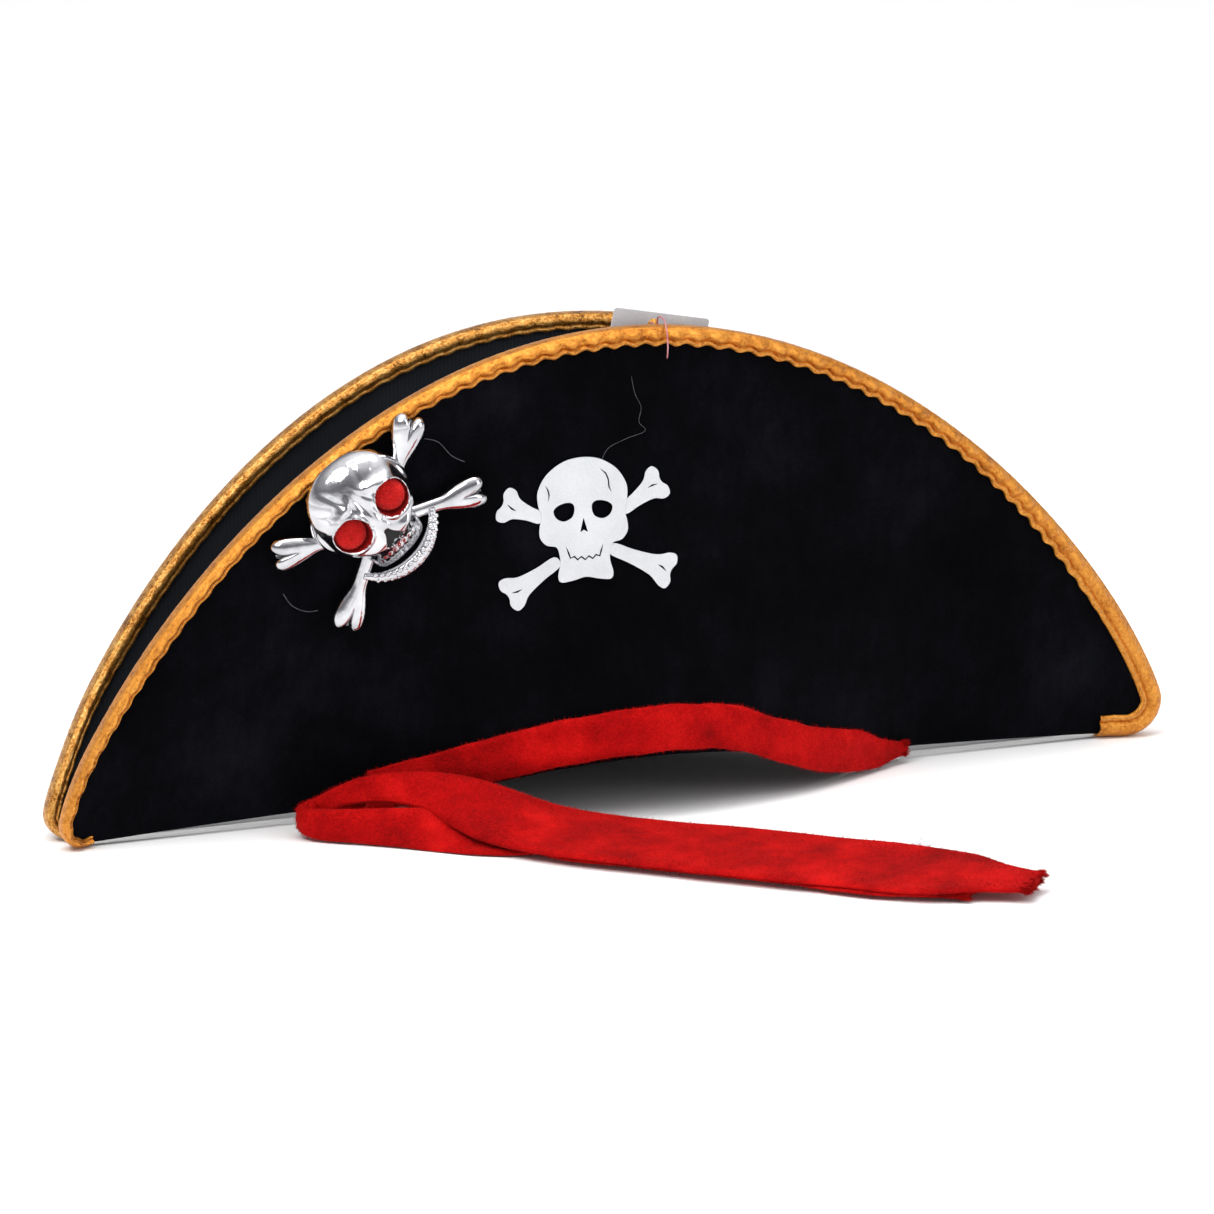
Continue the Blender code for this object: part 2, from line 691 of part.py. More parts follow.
def make_badge_threads(finish):
    """Two loose ends of the thread that ties the badge on, lying on the velvet."""
    depth = BINDING_IN + THREAD_RADIUS
    badge_x, badge_z = badge_at()
    routes = {
        "badge_thread_upper": ((0.0200, 0.0325), (0.0260, 0.0305), (0.0315, 0.0245), (0.0370, 0.0215)),
        "badge_thread_lower": ((-0.0385, -0.0275), (-0.0345, -0.0330), (-0.0285, -0.0360),
                               (-0.0235, -0.0360)),
    }
    for name, route in routes.items():
        points = curve_through([(badge_x + a, badge_z + b, 0.0) for a, b in route], 4)
        tube(name, [on_brim(FRONT, p.x, p.y, depth) for p in points], THREAD_RADIUS, finish)


def make_print(finish):
    """The heat-pressed emblem: a skull and four bone ends of thin film on the velvet."""
    low = BINDING_IN + GAP

    middle_z = top_at(FRONT, PRINT_AT_X) - PRINT_BELOW_EDGE

    def place(a, b, depth):
        return on_brim(FRONT, PRINT_AT_X + a, middle_z + b, depth)

    half = ((0.0, 31.0), (12.0, 28.0), (19.5, 18.0), (18.5, 7.0), (17.0, 1.5), (11.5, -3.0),
            (11.5, -14.0), (6.0, -19.0), (0.0, -19.5))
    half = [Vector((a, b)) / 1000 for a, b in half]
    whole = half + [Vector((-point.x, point.y)) for point in reversed(half[1:-1])]
    centre = Vector((-0.0022, 0.0))
    outlines = [[(point + centre).to_tuple() for point in curve_through(whole, 2, closed=True)]]
    for hand in (-1, 1):
        outlines.append([(centre.x + hand * 0.0080 + 0.0048 * math.cos(math.tau * i / 12),
                          0.0090 + 0.0040 * math.sin(math.tau * i / 12)) for i in range(12)])
    outlines.append([(centre.x, 0.0045), (centre.x + 0.0032, -0.0005), (centre.x - 0.0032, -0.0005)])
    plate("print_skull", outlines, low, low + PRINT_FILM, place, finish)

    ends = {
        "print_bone_upper_left": ((-0.0240, 0.0112), (-0.0338, 0.0178)),
        "print_bone_upper_right": ((0.0198, 0.0105), (0.0308, 0.0168)),
        "print_bone_lower_left": ((-0.0168, -0.0100), (-0.0312, -0.0208)),
        "print_bone_lower_right": ((0.0125, -0.0080), (0.0330, -0.0215)),
    }
    for name, (start, end) in ends.items():
        outline = bone_outline(start, end, 0.0030, 0.0040, False)
        plate(name, [outline], low, low + PRINT_FILM, place, finish)


def make_tag(board, thread):
    """A blank card inside the brim on a looped plastic thread over the front edge."""
    rim = on_brim(FRONT, TAG_AT_X, top_at(FRONT, TAG_AT_X), 0.0)
    hang_y = rim.y + BINDING_LINING_SIDE + 0.006
    hole = Vector((TAG_AT_X, hang_y, rim.z - TAG_HOLE_DROP))

    def place(a, b, depth):
        level, upright = math.cos(TAG_TILT), math.sin(TAG_TILT)
        return hole + Vector((a * level - b * upright, depth, a * upright + b * level))

    right, top = TAG_WIDTH / 2, TAG_HOLE_INSET
    card = [(-right, top), (-right, top - TAG_HEIGHT), (right, top - TAG_HEIGHT), (right, top)]
    ring = [(TAG_HOLE_RADIUS * math.cos(math.tau * i / 16), TAG_HOLE_RADIUS * math.sin(math.tau * i / 16))
            for i in range(16)]
    plate("hang_tag", [card, ring], 0.0, TAG_BOARD, place, board)

    front = on_brim(FRONT, TAG_AT_X, rim.z - 0.012, BINDING_OUT + 4 * THREAD_RADIUS)
    over = rim.z + BINDING_WRAP + 0.0016
    route = (
        front,
        Vector((TAG_AT_X, front.y, rim.z - 0.004)),
        Vector((TAG_AT_X, rim.y - BINDING_OUT, over - 0.0005)),
        Vector((TAG_AT_X, rim.y, over + 0.0008)),
        Vector((TAG_AT_X, rim.y + BINDING_LINING_SIDE + 0.001, over - 0.0005)),
        Vector((TAG_AT_X, hang_y - 0.003, rim.z - 0.004)),
        Vector((TAG_AT_X, hang_y - 0.001, hole.z)),
        Vector((TAG_AT_X, hang_y + TAG_BOARD + 0.003, hole.z)),
    )
    tube("tag_fastener", curve_through(route, 3), 1.2 * THREAD_RADIUS, thread)


def build():
    for old in list(bpy.data.objects):
        bpy.data.objects.remove(old, do_unlink=True)

    velvet = material("black_velvet", (0.008, 0.008, 0.011), 0.95)
    lining = material("dark_lining", (0.012, 0.016, 0.022), 0.85)
    foam = material("brim_stiffener", (0.025, 0.025, 0.028), 0.9)
    gold = material("gold_lame", (0.62, 0.30, 0.05), 0.35, 0.7)
    gold_thread = material("gold_thread", (0.55, 0.28, 0.06), 0.6)
    sweatband = material("sweatband_twill", (0.02, 0.02, 0.022), 0.8)
    red_velvet = material("red_velvet", (0.55, 0.01, 0.01), 0.9)
    chrome = material("metallised_plastic", (0.80, 0.80, 0.82), 0.12, 1.0)
    felt = material("red_felt", (0.60, 0.03, 0.02), 0.95)
    film = material("white_film", (0.85, 0.85, 0.85), 0.55)
    card = material("tag_board", (0.55, 0.56, 0.58), 0.7)
    nylon = material("clear_nylon", (0.75, 0.55, 0.58), 0.3)
    label = material("label_satin", (0.75, 0.76, 0.80), 0.6)
    black_thread = material("black_thread", (0.03, 0.03, 0.035), 0.7)

    for word, side in (("front", FRONT), ("back", BACK)):
        brim_layer(f"{word}_brim_core", side, -CORE / 2, CORE / 2, 0.0, foam)
        brim_layer(f"{word}_brim_velvet", side, VELVET_IN, VELVET_OUT, 0.0005, velvet)
        brim_layer(f"{word}_brim_lining", side, -LINING_OUT, -(CORE / 2 + GAP), 0.0005, lining)
        edge_binding(f"{word}_binding", side, gold)
        binding_stitches(f"{word}_binding_stitch", side, gold_thread)
    make_crown(velvet, lining, sweatband)
    make_band(red_velvet)
    make_knot(red_velvet)
    make_tail("sash_tail_lower", LOWER_TAIL_LENGTH, -0.012, 0.0, red_velvet)
    make_tail("sash_tail_upper", UPPER_TAIL_LENGTH, 0.0, TAIL_THICKNESS + 2 * GAP, red_velvet)
    make_care_label(label)
    plane = BadgePlane()
    make_crossbones(plane, chrome)
    make_eyes(plane, make_skull(plane, chrome), felt)
    make_jaw(plane, chrome)
    make_badge_threads(black_thread)
    make_print(film)
    make_tag(card, nylon)


build()
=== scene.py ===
"""A black velvet pirate hat with a turned-up brim, gold edges, a red velvet sash and a
silvery skull badge. Metres, +Z up, -Y the front and +X the wearer's left.
"""

import math
import random

import bmesh
import bpy
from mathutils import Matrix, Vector, noise


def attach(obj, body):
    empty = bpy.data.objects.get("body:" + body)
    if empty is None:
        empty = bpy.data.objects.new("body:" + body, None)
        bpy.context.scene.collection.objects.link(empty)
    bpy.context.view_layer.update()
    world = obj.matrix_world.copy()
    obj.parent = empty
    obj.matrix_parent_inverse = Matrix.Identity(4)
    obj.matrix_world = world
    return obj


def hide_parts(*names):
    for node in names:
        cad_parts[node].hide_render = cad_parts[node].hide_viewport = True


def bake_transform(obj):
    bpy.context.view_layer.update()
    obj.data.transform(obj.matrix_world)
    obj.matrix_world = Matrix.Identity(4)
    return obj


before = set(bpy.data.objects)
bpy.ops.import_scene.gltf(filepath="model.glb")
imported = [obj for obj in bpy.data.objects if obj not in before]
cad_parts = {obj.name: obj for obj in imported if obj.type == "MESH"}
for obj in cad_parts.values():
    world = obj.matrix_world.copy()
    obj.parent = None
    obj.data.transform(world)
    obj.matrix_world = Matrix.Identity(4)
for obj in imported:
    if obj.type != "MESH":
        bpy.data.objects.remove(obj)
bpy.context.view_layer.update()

# ---------------------------------------------------------------- the studio
# The hat stands on a seamless white table under two large soft boxes and a white sky.
# The camera looks from the wearer's right, a little above the table.

scene = bpy.context.scene
scene.view_settings.view_transform = "Standard"


def on_sphere(middle, azimuth, elevation, distance):
    """A place around a middle; azimuth 0 is in front of the hat, and rises to the right."""
    turn, rise = math.radians(azimuth), math.radians(elevation)
    flat = distance * math.cos(rise)
    return middle + Vector((flat * math.sin(turn), -flat * math.cos(turn), distance * math.sin(rise)))


def aimed(name, data, middle, azimuth, elevation, distance):
    """A camera or lamp at a place around a middle, turned to face it."""
    made = bpy.data.objects.new(name, data)
    made.location = on_sphere(middle, azimuth, elevation, distance)
    made.rotation_euler = (middle - made.location).to_track_quat("-Z", "Y").to_euler()
    scene.collection.objects.link(made)
    return made


view_middle = Vector((0.0, 0.0, 0.075))
view_distance = 9.0
view_width = 0.4910
table_radius = 6.0
table_drop = 0.0004  # keeps the table clear of the hat's lowest faces
camera_data = bpy.data.cameras.new("camera")
camera_data.sensor_width = 36.0
camera_data.lens = camera_data.sensor_width * view_distance / view_width
camera_data.clip_end = 40.0
scene.camera = aimed("camera", camera_data, view_middle, -22.0, 15.0, view_distance)


def soft_box(name, azimuth, elevation, distance, size, watts, colour):
    lamp = bpy.data.lights.new(name, "AREA")
    lamp.shape = "RECTANGLE"
    lamp.size, lamp.size_y = size
    lamp.energy = watts
    lamp.color = colour
    aimed(name, lamp, view_middle, azimuth, elevation, distance)


soft_box("key_box", -62.0, 48.0, 1.5, (1.0, 0.6), 11.0, (1.0, 0.99, 0.97))
soft_box("fill_box", 40.0, 30.0, 1.7, (0.7, 1.1), 6.5, (0.98, 0.99, 1.0))
soft_box("top_box", 10.0, 82.0, 1.4, (1.1, 0.6), 7.0, (1.0, 1.0, 1.0))


class Wire:
    """A value in a material's nodes: plain arithmetic on it adds Math nodes."""

    def __init__(self, tree, socket=None):
        self.tree, self.socket = tree, socket

    def node(self, kind, settings, inputs, output=0):
        """Any shader node: its settings first, then the values or wires of its sockets."""
        made = self.tree.nodes.new("ShaderNode" + kind)
        for name, value in settings.items():
            if name == "stops":
                stops = made.color_ramp.elements
                while len(stops) < len(value):
                    stops.new(1.0)
                for stop, (place, colour) in zip(stops, value):
                    stop.position, stop.color = place, (*colour, 1.0)
            else:
                setattr(made, name, value)
        for name, value in inputs.items():
            if isinstance(value, Wire):
                self.tree.links.new(value.socket, made.inputs[name])
            else:
                made.inputs[name].default_value = value
        return Wire(self.tree, made.outputs[output])

    def math(self, operation, first, second):
        return self.node("Math", {"operation": operation}, {0: first, 1: second})

    def __add__(self, other):
        return self.math("ADD", self, other)

    def __mul__(self, other):
        return self.math("MULTIPLY", self, other)

    __radd__ = __add__
    __rmul__ = __mul__

    def colours(self, *stops):
        """A colour that runs through stops as this value goes from 0 to 1."""
        return self.node("ValToRGB", {"stops": stops}, {"Fac": self})


class Finish:
    """A material on the Principled shader, with its patterns measured in metres."""

    def __init__(self, name, **constants):
        self.material = bpy.data.materials.new(name)
        self.material.use_nodes = True
        tree = self.material.node_tree
        self.shader = tree.nodes["Principled BSDF"]
        self.start = Wire(tree)
        self.place = self.start.node("TexCoord", {}, {}, "Object")
        for socket, value in constants.items():
            self.shader.inputs[socket.replace("_", " ")].default_value = value

    def speckle(self, scale, detail=2.0, roughness=0.5, stretch=None):
        """Cloudy noise, this many cells to a metre."""
        place = self.place
        if stretch:
            place = self.start.node("VectorMath", {"operation": "MULTIPLY"}, {0: place, 1: stretch})
        return self.start.node("TexNoise", {}, {"Vector": place, "Scale": scale, "Detail": detail,
                                                "Roughness": roughness})

    def set(self, **wires):
        for socket, wire in wires.items():
            name = socket.replace("_", " ")
            self.start.tree.links.new(wire.socket, self.shader.inputs[name])
        return self.material

    def bump(self, height, depth):
        """Surface relief from a height between 0 and 1, this deep in metres."""
        return self.start.node("Bump", {}, {"Height": height, "Distance": depth, "Strength": 1.0}, "Normal")

    def mottled(self, pattern, low, high, depth=0.0):
        """The material with one speckle, between two stops of colour and this deep in relief."""
        tone = self.speckle(*pattern)
        relief = {"Normal": self.bump(tone, depth)} if depth else {}
        return self.set(Base_Color=tone.colours(low, high), **relief)


# The sky is white overhead and at the horizon, and darker between, as a studio is.
world = bpy.data.worlds.new("white_sky")
world.use_nodes = True
sky = Wire(world.node_tree)
toward = sky.node("TexCoord", {}, {}, "Generated")
rise = sky.node("SeparateXYZ", {}, {"Vector": toward}, "Z")
sky_tone = rise.colours((0.0, (0.92, 0.92, 0.92)), (0.16, (0.44, 0.44, 0.45)), (0.34, (0.12, 0.12, 0.13)),
                        (0.62, (0.28, 0.28, 0.29)), (1.0, (1.0, 1.0, 1.0)))
backdrop = world.node_tree.nodes["Background"]
world.node_tree.links.new(sky_tone.socket, backdrop.inputs["Color"])
backdrop.inputs["Strength"].default_value = 1.75
scene.world = world

white_table = Finish("white_table", Roughness=0.9, Specular_IOR_Level=0.1).mottled(
    (3.0,), (0.0, (0.93, 0.93, 0.93)), (1.0, (0.95, 0.95, 0.95)))
table_shape = bmesh.new()
bmesh.ops.create_circle(table_shape, cap_ends=True, segments=96, radius=table_radius)
table_mesh = bpy.data.meshes.new("table")
table_shape.to_mesh(table_mesh)
table_shape.free()
table_mesh.materials.append(white_table)
table = bpy.data.objects.new("table", table_mesh)
table.location.z = -table_drop
scene.collection.objects.link(table)

# ---------------------------------------------------------------- the brim's stiffener
# Two sheets of thin black felt, cut to the brim's outline, keep its two halves standing.
# Everything else on the brim is sewn or pressed to them, so their surface comes first.

FRONT, BACK = -1, 1
SIDES = (("front", FRONT), ("back", BACK))
LEFT, RIGHT = -1, 1
gap = 0.0003
core_thickness = 0.0020
velvet_thickness = 0.0010
lining_thickness = 0.0008
lame_thickness = 0.0007

tip_to_tip = 0.480
brim_height = {FRONT: 0.199, BACK: 0.186}
top_spread = {FRONT: 0.028, BACK: 0.051}
tip_spread = {FRONT: 0.009, BACK: 0.012}
tip_radius = {LEFT: 0.009, RIGHT: 0.015}
crease_inset = {LEFT: 0.013, RIGHT: 0.026}
brim_fullness = 0.8
brim_lean = -0.035
crease_rise = 0.006
lobe_spread = 0.004
soft_fold = 0.060
brim_slack = 0.0016
brim_wave = 0.075
head_half_length = 0.132
head_half_width = 0.050
arch_half_length = 0.112
face_arch_rise = 0.0215

velvet_in = core_thickness / 2 + gap
velvet_out = velvet_in + velvet_thickness
lining_out = core_thickness / 2 + gap + lining_thickness
lame_in = velvet_out + 1.5 * gap
lame_out = lame_in + lame_thickness
lame_wrap = gap + lame_thickness
lame_lining_side = lining_out + 1.5 * gap + lame_thickness
crease_half_width = lame_lining_side * 1.25 + gap
half_length = tip_to_tip / 2 - lame_wrap


def smooth_step(value):
    """0 below 0, 1 above 1, and an even rise between."""
    value = min(1.0, max(0.0, value))
    return value * value * (3.0 - 2.0 * value)


def lumps(x, y, z, size):
    """Smooth unevenness between about -1 and 1, with lumps of this size."""
    return noise.noise(Vector((x, y, z)) / size)


def end_of(x):
    return RIGHT if x > 0 else LEFT


def top_at(side, x):
    """Height of the brim's cut edge."""
    radius = tip_radius[end_of(x)]
    share = max(0.0, 1.0 - (x / half_length) ** 2)
    full = brim_height[side] - 2 * lame_wrap - radius
    return lame_wrap + radius + full * share**brim_fullness


def arch_at(x):
    """The share of the arch's full rise at a place along the head."""
    return max(0.0, 1.0 - (x / arch_half_length) ** 2) ** 1.2


def low_at(side, x):
    """Height of the brim's lower edge: a long crease, and an arch over the face."""
    reach = half_length - tip_radius[end_of(x)]
    crease = crease_rise * max(0.0, 1.0 - (x / reach) ** 2)
    rise = face_arch_rise if side == FRONT else -(lame_wrap + crease_rise)
    return lame_wrap + crease + arch_at(x) * rise


def spread_at(side, x, z):
    """Distance of the brim's middle from the hat's middle plane, with the felt's slack."""
    head = max(0.0, 1.0 - (x / head_half_length) ** 2) ** 1.4
    crease_end = half_length - crease_inset[end_of(x)]
    lobe = smooth_step((abs(x) - crease_end) / (half_length - crease_end))
    low = crease_half_width + head_half_width * head + lobe_spread * lobe
    top = top_spread[side] + (tip_spread[side] - top_spread[side]) * (x / half_length) ** 2
    rise = min(1.0, max(0.0, z / max(top_at(side, x), soft_fold)))
    slack = brim_slack * lumps(x, side * 0.3, z, brim_wave) * smooth_step(1.6 - abs(x) / 0.14)
    return low + (top - low) * math.sin(rise * math.pi / 2) + slack * math.sin(rise * math.pi)


def on_brim(side, x, z, depth):
    """The point at a depth outside the middle of the brim, seen from the front at (x, z)."""
    step = 0.0005
    spread = spread_at(side, x, z)
    across = (spread_at(side, x + step, z) - spread) / step
    upward = (spread_at(side, x, z + step) - spread) / step
    return Vector((x, side * (spread + depth * math.sqrt(1.0 + across**2 + upward**2)), z))


def edge_top(side, share):
    """The cut edge of the brim, from the left tip at -1 to the right tip at 1."""
    x = half_length * math.sin(share * math.pi / 2)
    z = top_at(side, x)
    return x + brim_lean * (z - top_at(side, math.copysign(half_length, share))), z


def edge_low(side, share):
    """The lower edge below that point, which rounds up into the tips."""
    x = half_length * math.sin(share * math.pi / 2)
    radius = tip_radius[end_of(x)]
    start = math.asin((half_length - radius) / half_length) / (math.pi / 2)
    if abs(share) <= start:
        return x, low_at(side, x)
    turn = (abs(share) - start) / (1.0 - start) * math.pi / 2
    reach = half_length - radius + radius * math.sin(turn)
    return math.copysign(reach, share), lame_wrap + radius * (1.0 - math.cos(turn))


def brim_shares(count):
    """Where the brim's sheets have their columns, closer together towards the tips."""
    evenly = [2.0 * i / count - 1.0 for i in range(count + 1)]
    return [0.985 * (v + math.sin(v * math.pi / 2)) / 2 for v in evenly]


def circle(count):
    """Cosines and sines of even turns round a circle."""
    return [(math.cos(math.tau * i / count), math.sin(math.tau * i / count)) for i in range(count)]


def add_piece(name, shape, finish, sharp=35.0):
    """A finished piece from a bmesh, its faces turned outwards."""
    bmesh.ops.recalc_face_normals(shape, faces=shape.faces)
    if shape.calc_volume(signed=True) < 0:
        bmesh.ops.reverse_faces(shape, faces=shape.faces)
    mesh = bpy.data.meshes.new(name)
    shape.to_mesh(mesh)
    shape.free()
    mesh.shade_smooth()
    mesh.set_sharp_from_angle(angle=math.radians(sharp))
    mesh.materials.append(finish)
    made = bpy.data.objects.new(name, mesh)
    scene.collection.objects.link(made)
    return made


def settle(piece, node, body="hat"):
    """Fixes a piece to a body of the hat, in the place of the plain solid of its node."""
    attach(piece, body)
    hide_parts(node)


def skin(shape, rings, closed=False):
    """Faces through rings of points, capped at both ends unless they close on themselves."""
    rows = [[shape.verts.new(point) for point in ring] for ring in rings]
    pairs = list(zip(rows, rows[1:])) + ([(rows[-1], rows[0])] if closed else [])
    for low, high in pairs:
        for i in range(len(low)):
            after = (i + 1) % len(low)
            shape.faces.new((low[i], low[after], high[after], high[i]))
    if not closed:
        shape.faces.new(rows[0])
        shape.faces.new(rows[-1])


def brim_sheet(name, side, inner, outer, finish, columns, rows, foot, nap):
    """A sheet of the brim between two depths, with a rounded foot lifted off the table."""
    shape = bmesh.new()
    rings = []
    for share in brim_shares(columns):
        x_low, z_low = edge_low(side, share)
        x_top, z_top = edge_top(side, share)
        lift = min(foot, (z_top - z_low) / 4)

        def at(t, depth):
            x, z = x_low + (x_top - x_low) * t, z_low + (z_top - z_low) * t + lift * (1.0 - t)
            return on_brim(side, x, z, depth + nap * lumps(x, side, z, 0.012))

        middle, half = (inner + outer) / 2, (outer - inner) / 2
        ring = [at(row / rows, outer) for row in range(rows + 1)]
        ring += [at(row / rows, inner) for row in reversed(range(rows + 1))]
        ring.append(at(0.0, middle) - Vector((0.0, 0.0, min(half, lift * 0.8))))
        rings.append(ring)
    skin(shape, rings)
    return add_piece(name, shape, finish)


def brim_layer(layer, inner, outer, finish, columns, rows, foot, nap, node):
    """The same sheet on both halves of the brim, from its inner to its outer depth."""
    for word, side in SIDES:
        sheet = brim_sheet(f"{word}_{layer}", side, inner, outer, finish, columns, rows, foot, nap)
        settle(sheet, f"{word}_brim_{node}")


black_felt = Finish("black_felt", Roughness=0.9, Specular_IOR_Level=0.2).mottled(
    (1400.0,), (0.35, (0.010, 0.010, 0.011)), (0.65, (0.022, 0.022, 0.024)), 0.0002)
brim_layer("stiffener", -core_thickness / 2, core_thickness / 2, black_felt, 96, 24, 0.0004, 0.0,
           "core")

# ---------------------------------------------------------------- the velvet
# Black polyester velvet over the outside of both halves of the brim, turned in at the foot.
# Its short nap drinks the light and shows faint cloudy marks where it was stroked.

velvet_finish = Finish("black_velvet", Roughness=0.95, Specular_IOR_Level=0.03, Sheen_Weight=0.018,
                       Sheen_Roughness=0.45, Sheen_Tint=(0.60, 0.64, 0.80, 1.0))
stroked = velvet_finish.speckle(16.0, 5.0, 0.62)
nap = velvet_finish.speckle(1500.0, 3.0, 0.7)
weave = velvet_finish.speckle(240.0, 3.0, 0.6, (1.0, 1.0, 0.35))
velvet_tone = stroked * 0.6 + nap * 0.25 + weave * 0.15
velvet_finish.set(
    Base_Color=velvet_tone.colours((0.38, (0.0006, 0.0006, 0.0010)), (0.50, (0.0014, 0.0015, 0.0023)),
                                   (0.68, (0.0052, 0.0055, 0.0080))),
    Normal=velvet_finish.bump(nap * 0.6 + weave * 0.4, 0.0004))

brim_layer("velvet", velvet_in, velvet_out, velvet_finish.material, 220, 64, 0.0008, 0.00012,
           "velvet")

# ---------------------------------------------------------------- the brim's lining
# A matt blue-black tricot laminated to the inner face of each half of the brim.
# It is what shows inside the hat, behind the front edge.

lining_finish = Finish("blue_black_tricot", Roughness=0.75, Specular_IOR_Level=0.25, Sheen_Weight=0.06,
                       Sheen_Roughness=0.5)
tricot_ribs = lining_finish.start.node(
    "TexWave", {"wave_type": "BANDS", "bands_direction": "X"},
    {"Vector": lining_finish.place, "Scale": 180.0, "Distortion": 1.5, "Detail": 1.0})
tricot_fade = lining_finish.speckle(30.0, 4.0)
lining_finish.set(
    Base_Color=(tricot_fade * 0.8 + tricot_ribs * 0.2).colours(
        (0.3, (0.0030, 0.0042, 0.0068)), (0.7, (0.0075, 0.0105, 0.0160))),
    Normal=lining_finish.bump(tricot_ribs * 0.5 + lining_finish.speckle(900.0) * 0.5, 0.0002))

brim_layer("lining", -lining_out, -(core_thickness / 2 + gap), lining_finish.material, 160, 48, 0.0008,
           0.00006, "lining")

# ---------------------------------------------------------------- the gold edge
# A bias strip of gold lame folded over each cut edge and sewn down near its raw edge.
# The thread pulls the strip into even puckers, except round the broad right tip.

lame_face = 0.0080
lame_inside = 0.0065
pucker_length = 0.0093
pucker_sway = 0.00065
groove_at = 0.66  # share of the face between the fold and the sewn groove
edge_columns = 760


def face_width(side, x):
    """The strip's width on the face: narrow at the left tip, broad round the right one."""
    clear_of_tip = smooth_step((x + half_length) / (4 * lame_face) - 0.25)
    broad = 0.54 + 0.26 * smooth_step((x + 0.20) / 0.20) + 0.26 * smooth_step((x - 0.14) / 0.08)
    if side == BACK:
        broad = 0.86
    return lame_face * broad * (0.72 + 0.28 * clear_of_tip)


def edge_stations(side, count):
    """Places along the bound edge, the way inwards, the face's width and the length so far."""
    places = []
    for end in (LEFT, RIGHT):
        start = half_length - crease_inset[end]
        lobe = [(end * start, low_at(side, end * start))]
        lobe += [edge_low(side, share) for share in brim_shares(count)
                 if share * end > 0 and abs(edge_low(side, share)[0]) > start + 0.0006]
        lobe[1:] = sorted(lobe[1:], key=lambda place: abs(place[0]))
        lobe.append(edge_top(side, end))
        if end == LEFT:
            places += lobe + [edge_top(side, share) for share in brim_shares(count)]
        else:
            places += reversed(lobe)
    stations, travelled = [], 0.0
    for i, (x, z) in enumerate(places):
        before, after = places[max(0, i - 1)], places[min(len(places) - 1, i + 1)]
        along = Vector((after[0] - before[0], after[1] - before[1])).normalized()
        if i:
            travelled += (on_brim(side, x, z, 0) - on_brim(side, *places[i - 1], 0)).length
        stations.append((Vector((x, z)), Vector((along.y, -along.x)), face_width(side, x), travelled))
    return stations


def pucker(side, place, travelled):
    """The phase of the puckers at a place, and how strongly the thread draws them."""
    drift = 1.5 * lumps(travelled, side, 0.0, 0.045)
    smooth_end = smooth_step((0.226 - place.x) / 0.035)
    drawn = 0.55 + 0.45 * smooth_step((place.x + 0.16) / 0.10)
    if side == BACK:
        drawn *= 0.45
    return math.tau * travelled / pucker_length + drift, drawn * smooth_end


def face_relief(side, share, phase, drawn, travelled):
    """How far the strip stands off the velvet, from its fold at 0 to its raw edge at 1."""
    rolled = math.sin(math.pi * min(1.0, share / groove_at)) ** 0.8 if share < groove_at else 0.0
    lip = math.sin(math.pi * min(1.0, max(0.0, share - groove_at) / (1.0 - groove_at)))
    wrinkle = lumps(travelled, share * 0.01, side, 0.0017)
    fine = lumps(travelled, share * 0.004, side + 2.0, 0.0007)
    height = 0.0017 * rolled * (1.0 + 0.55 * drawn * math.cos(phase + 1.8 * share))
    height += 0.0008 * lip * (1.0 + 0.5 * drawn * math.cos(phase + 2.6))
    return height + (0.00042 * wrinkle + 0.00016 * fine) * (rolled + 0.5 * lip + 0.2)


def strip_section(side, place, inward, face, travelled):
    """Rings of the strip's outer and inner skin, from raw edge over the fold to raw edge."""
    phase, drawn = pucker(side, place, travelled)
    sway = pucker_sway * drawn * math.cos(phase)
    inside = lame_inside * face / lame_face
    outer = []
    for step in range(19):
        share = 1.0 - step / 18
        reach = face * share + sway * smooth_step(share / 0.5)
        outer.append((reach, lame_out + face_relief(side, share, phase, drawn, travelled)))
    for step in range(1, 8):
        turn = math.pi * step / 8
        middle, half = (lame_out - lame_lining_side) / 2, (lame_out + lame_lining_side) / 2
        crinkle = 0.00018 * lumps(travelled, turn * 0.002, side + 5.0, 0.0016)
        outer.append((-(lame_wrap + crinkle) * math.sin(turn) ** 0.7, middle + half * math.cos(turn)))
    for step in range(15):
        share = step / 14
        relief = face_relief(side, share * 0.97, phase + 2.0, drawn * 0.8, travelled + 0.7)
        outer.append((inside * share - sway * share, -lame_lining_side - 0.6 * relief))
    thin = 0.82  # the inner skin lies this share of the way out
    inner = []
    for reach, depth in reversed(outer):
        pull = lame_thickness * 0.8 if reach <= 0 else 0.0
        inner.append((reach + pull, depth * thin))
    return [on_brim(side, *(place + inward * reach), depth) for reach, depth in outer + inner]


def gold_finish(name, dark, mid, light, speck_scale, speck_low, roughness):
    """Metallised lame: fine crossing threads, painted shade in its creases and painted glints on its
    crumples.
    """
    made = Finish(name, Specular_IOR_Level=0.5)
    crumple = made.speckle(speck_scale, 4.0, 0.65)
    cloud = made.speckle(150.0, 3.0, 0.55)
    threads = made.start.node("TexVoronoi", {"feature": "F1"},
                              {"Vector": made.place, "Scale": 2600.0, "Randomness": 0.8})
    tone = crumple * 0.55 + cloud * 0.30 + threads * 0.15
    made.set(
        # The darkest stop is painted shade in the crumples' creases and the lightest a painted glint on their
        # crests.
        Base_Color=tone.colours((speck_low, dark), (speck_low + 0.10, mid), (0.72, light)),
        Roughness=0.22 + roughness * cloud,
        Metallic=0.55 + 0.35 * crumple,
        Normal=made.bump(crumple * 0.6 + threads * 0.4, 0.00030))
    return made.material
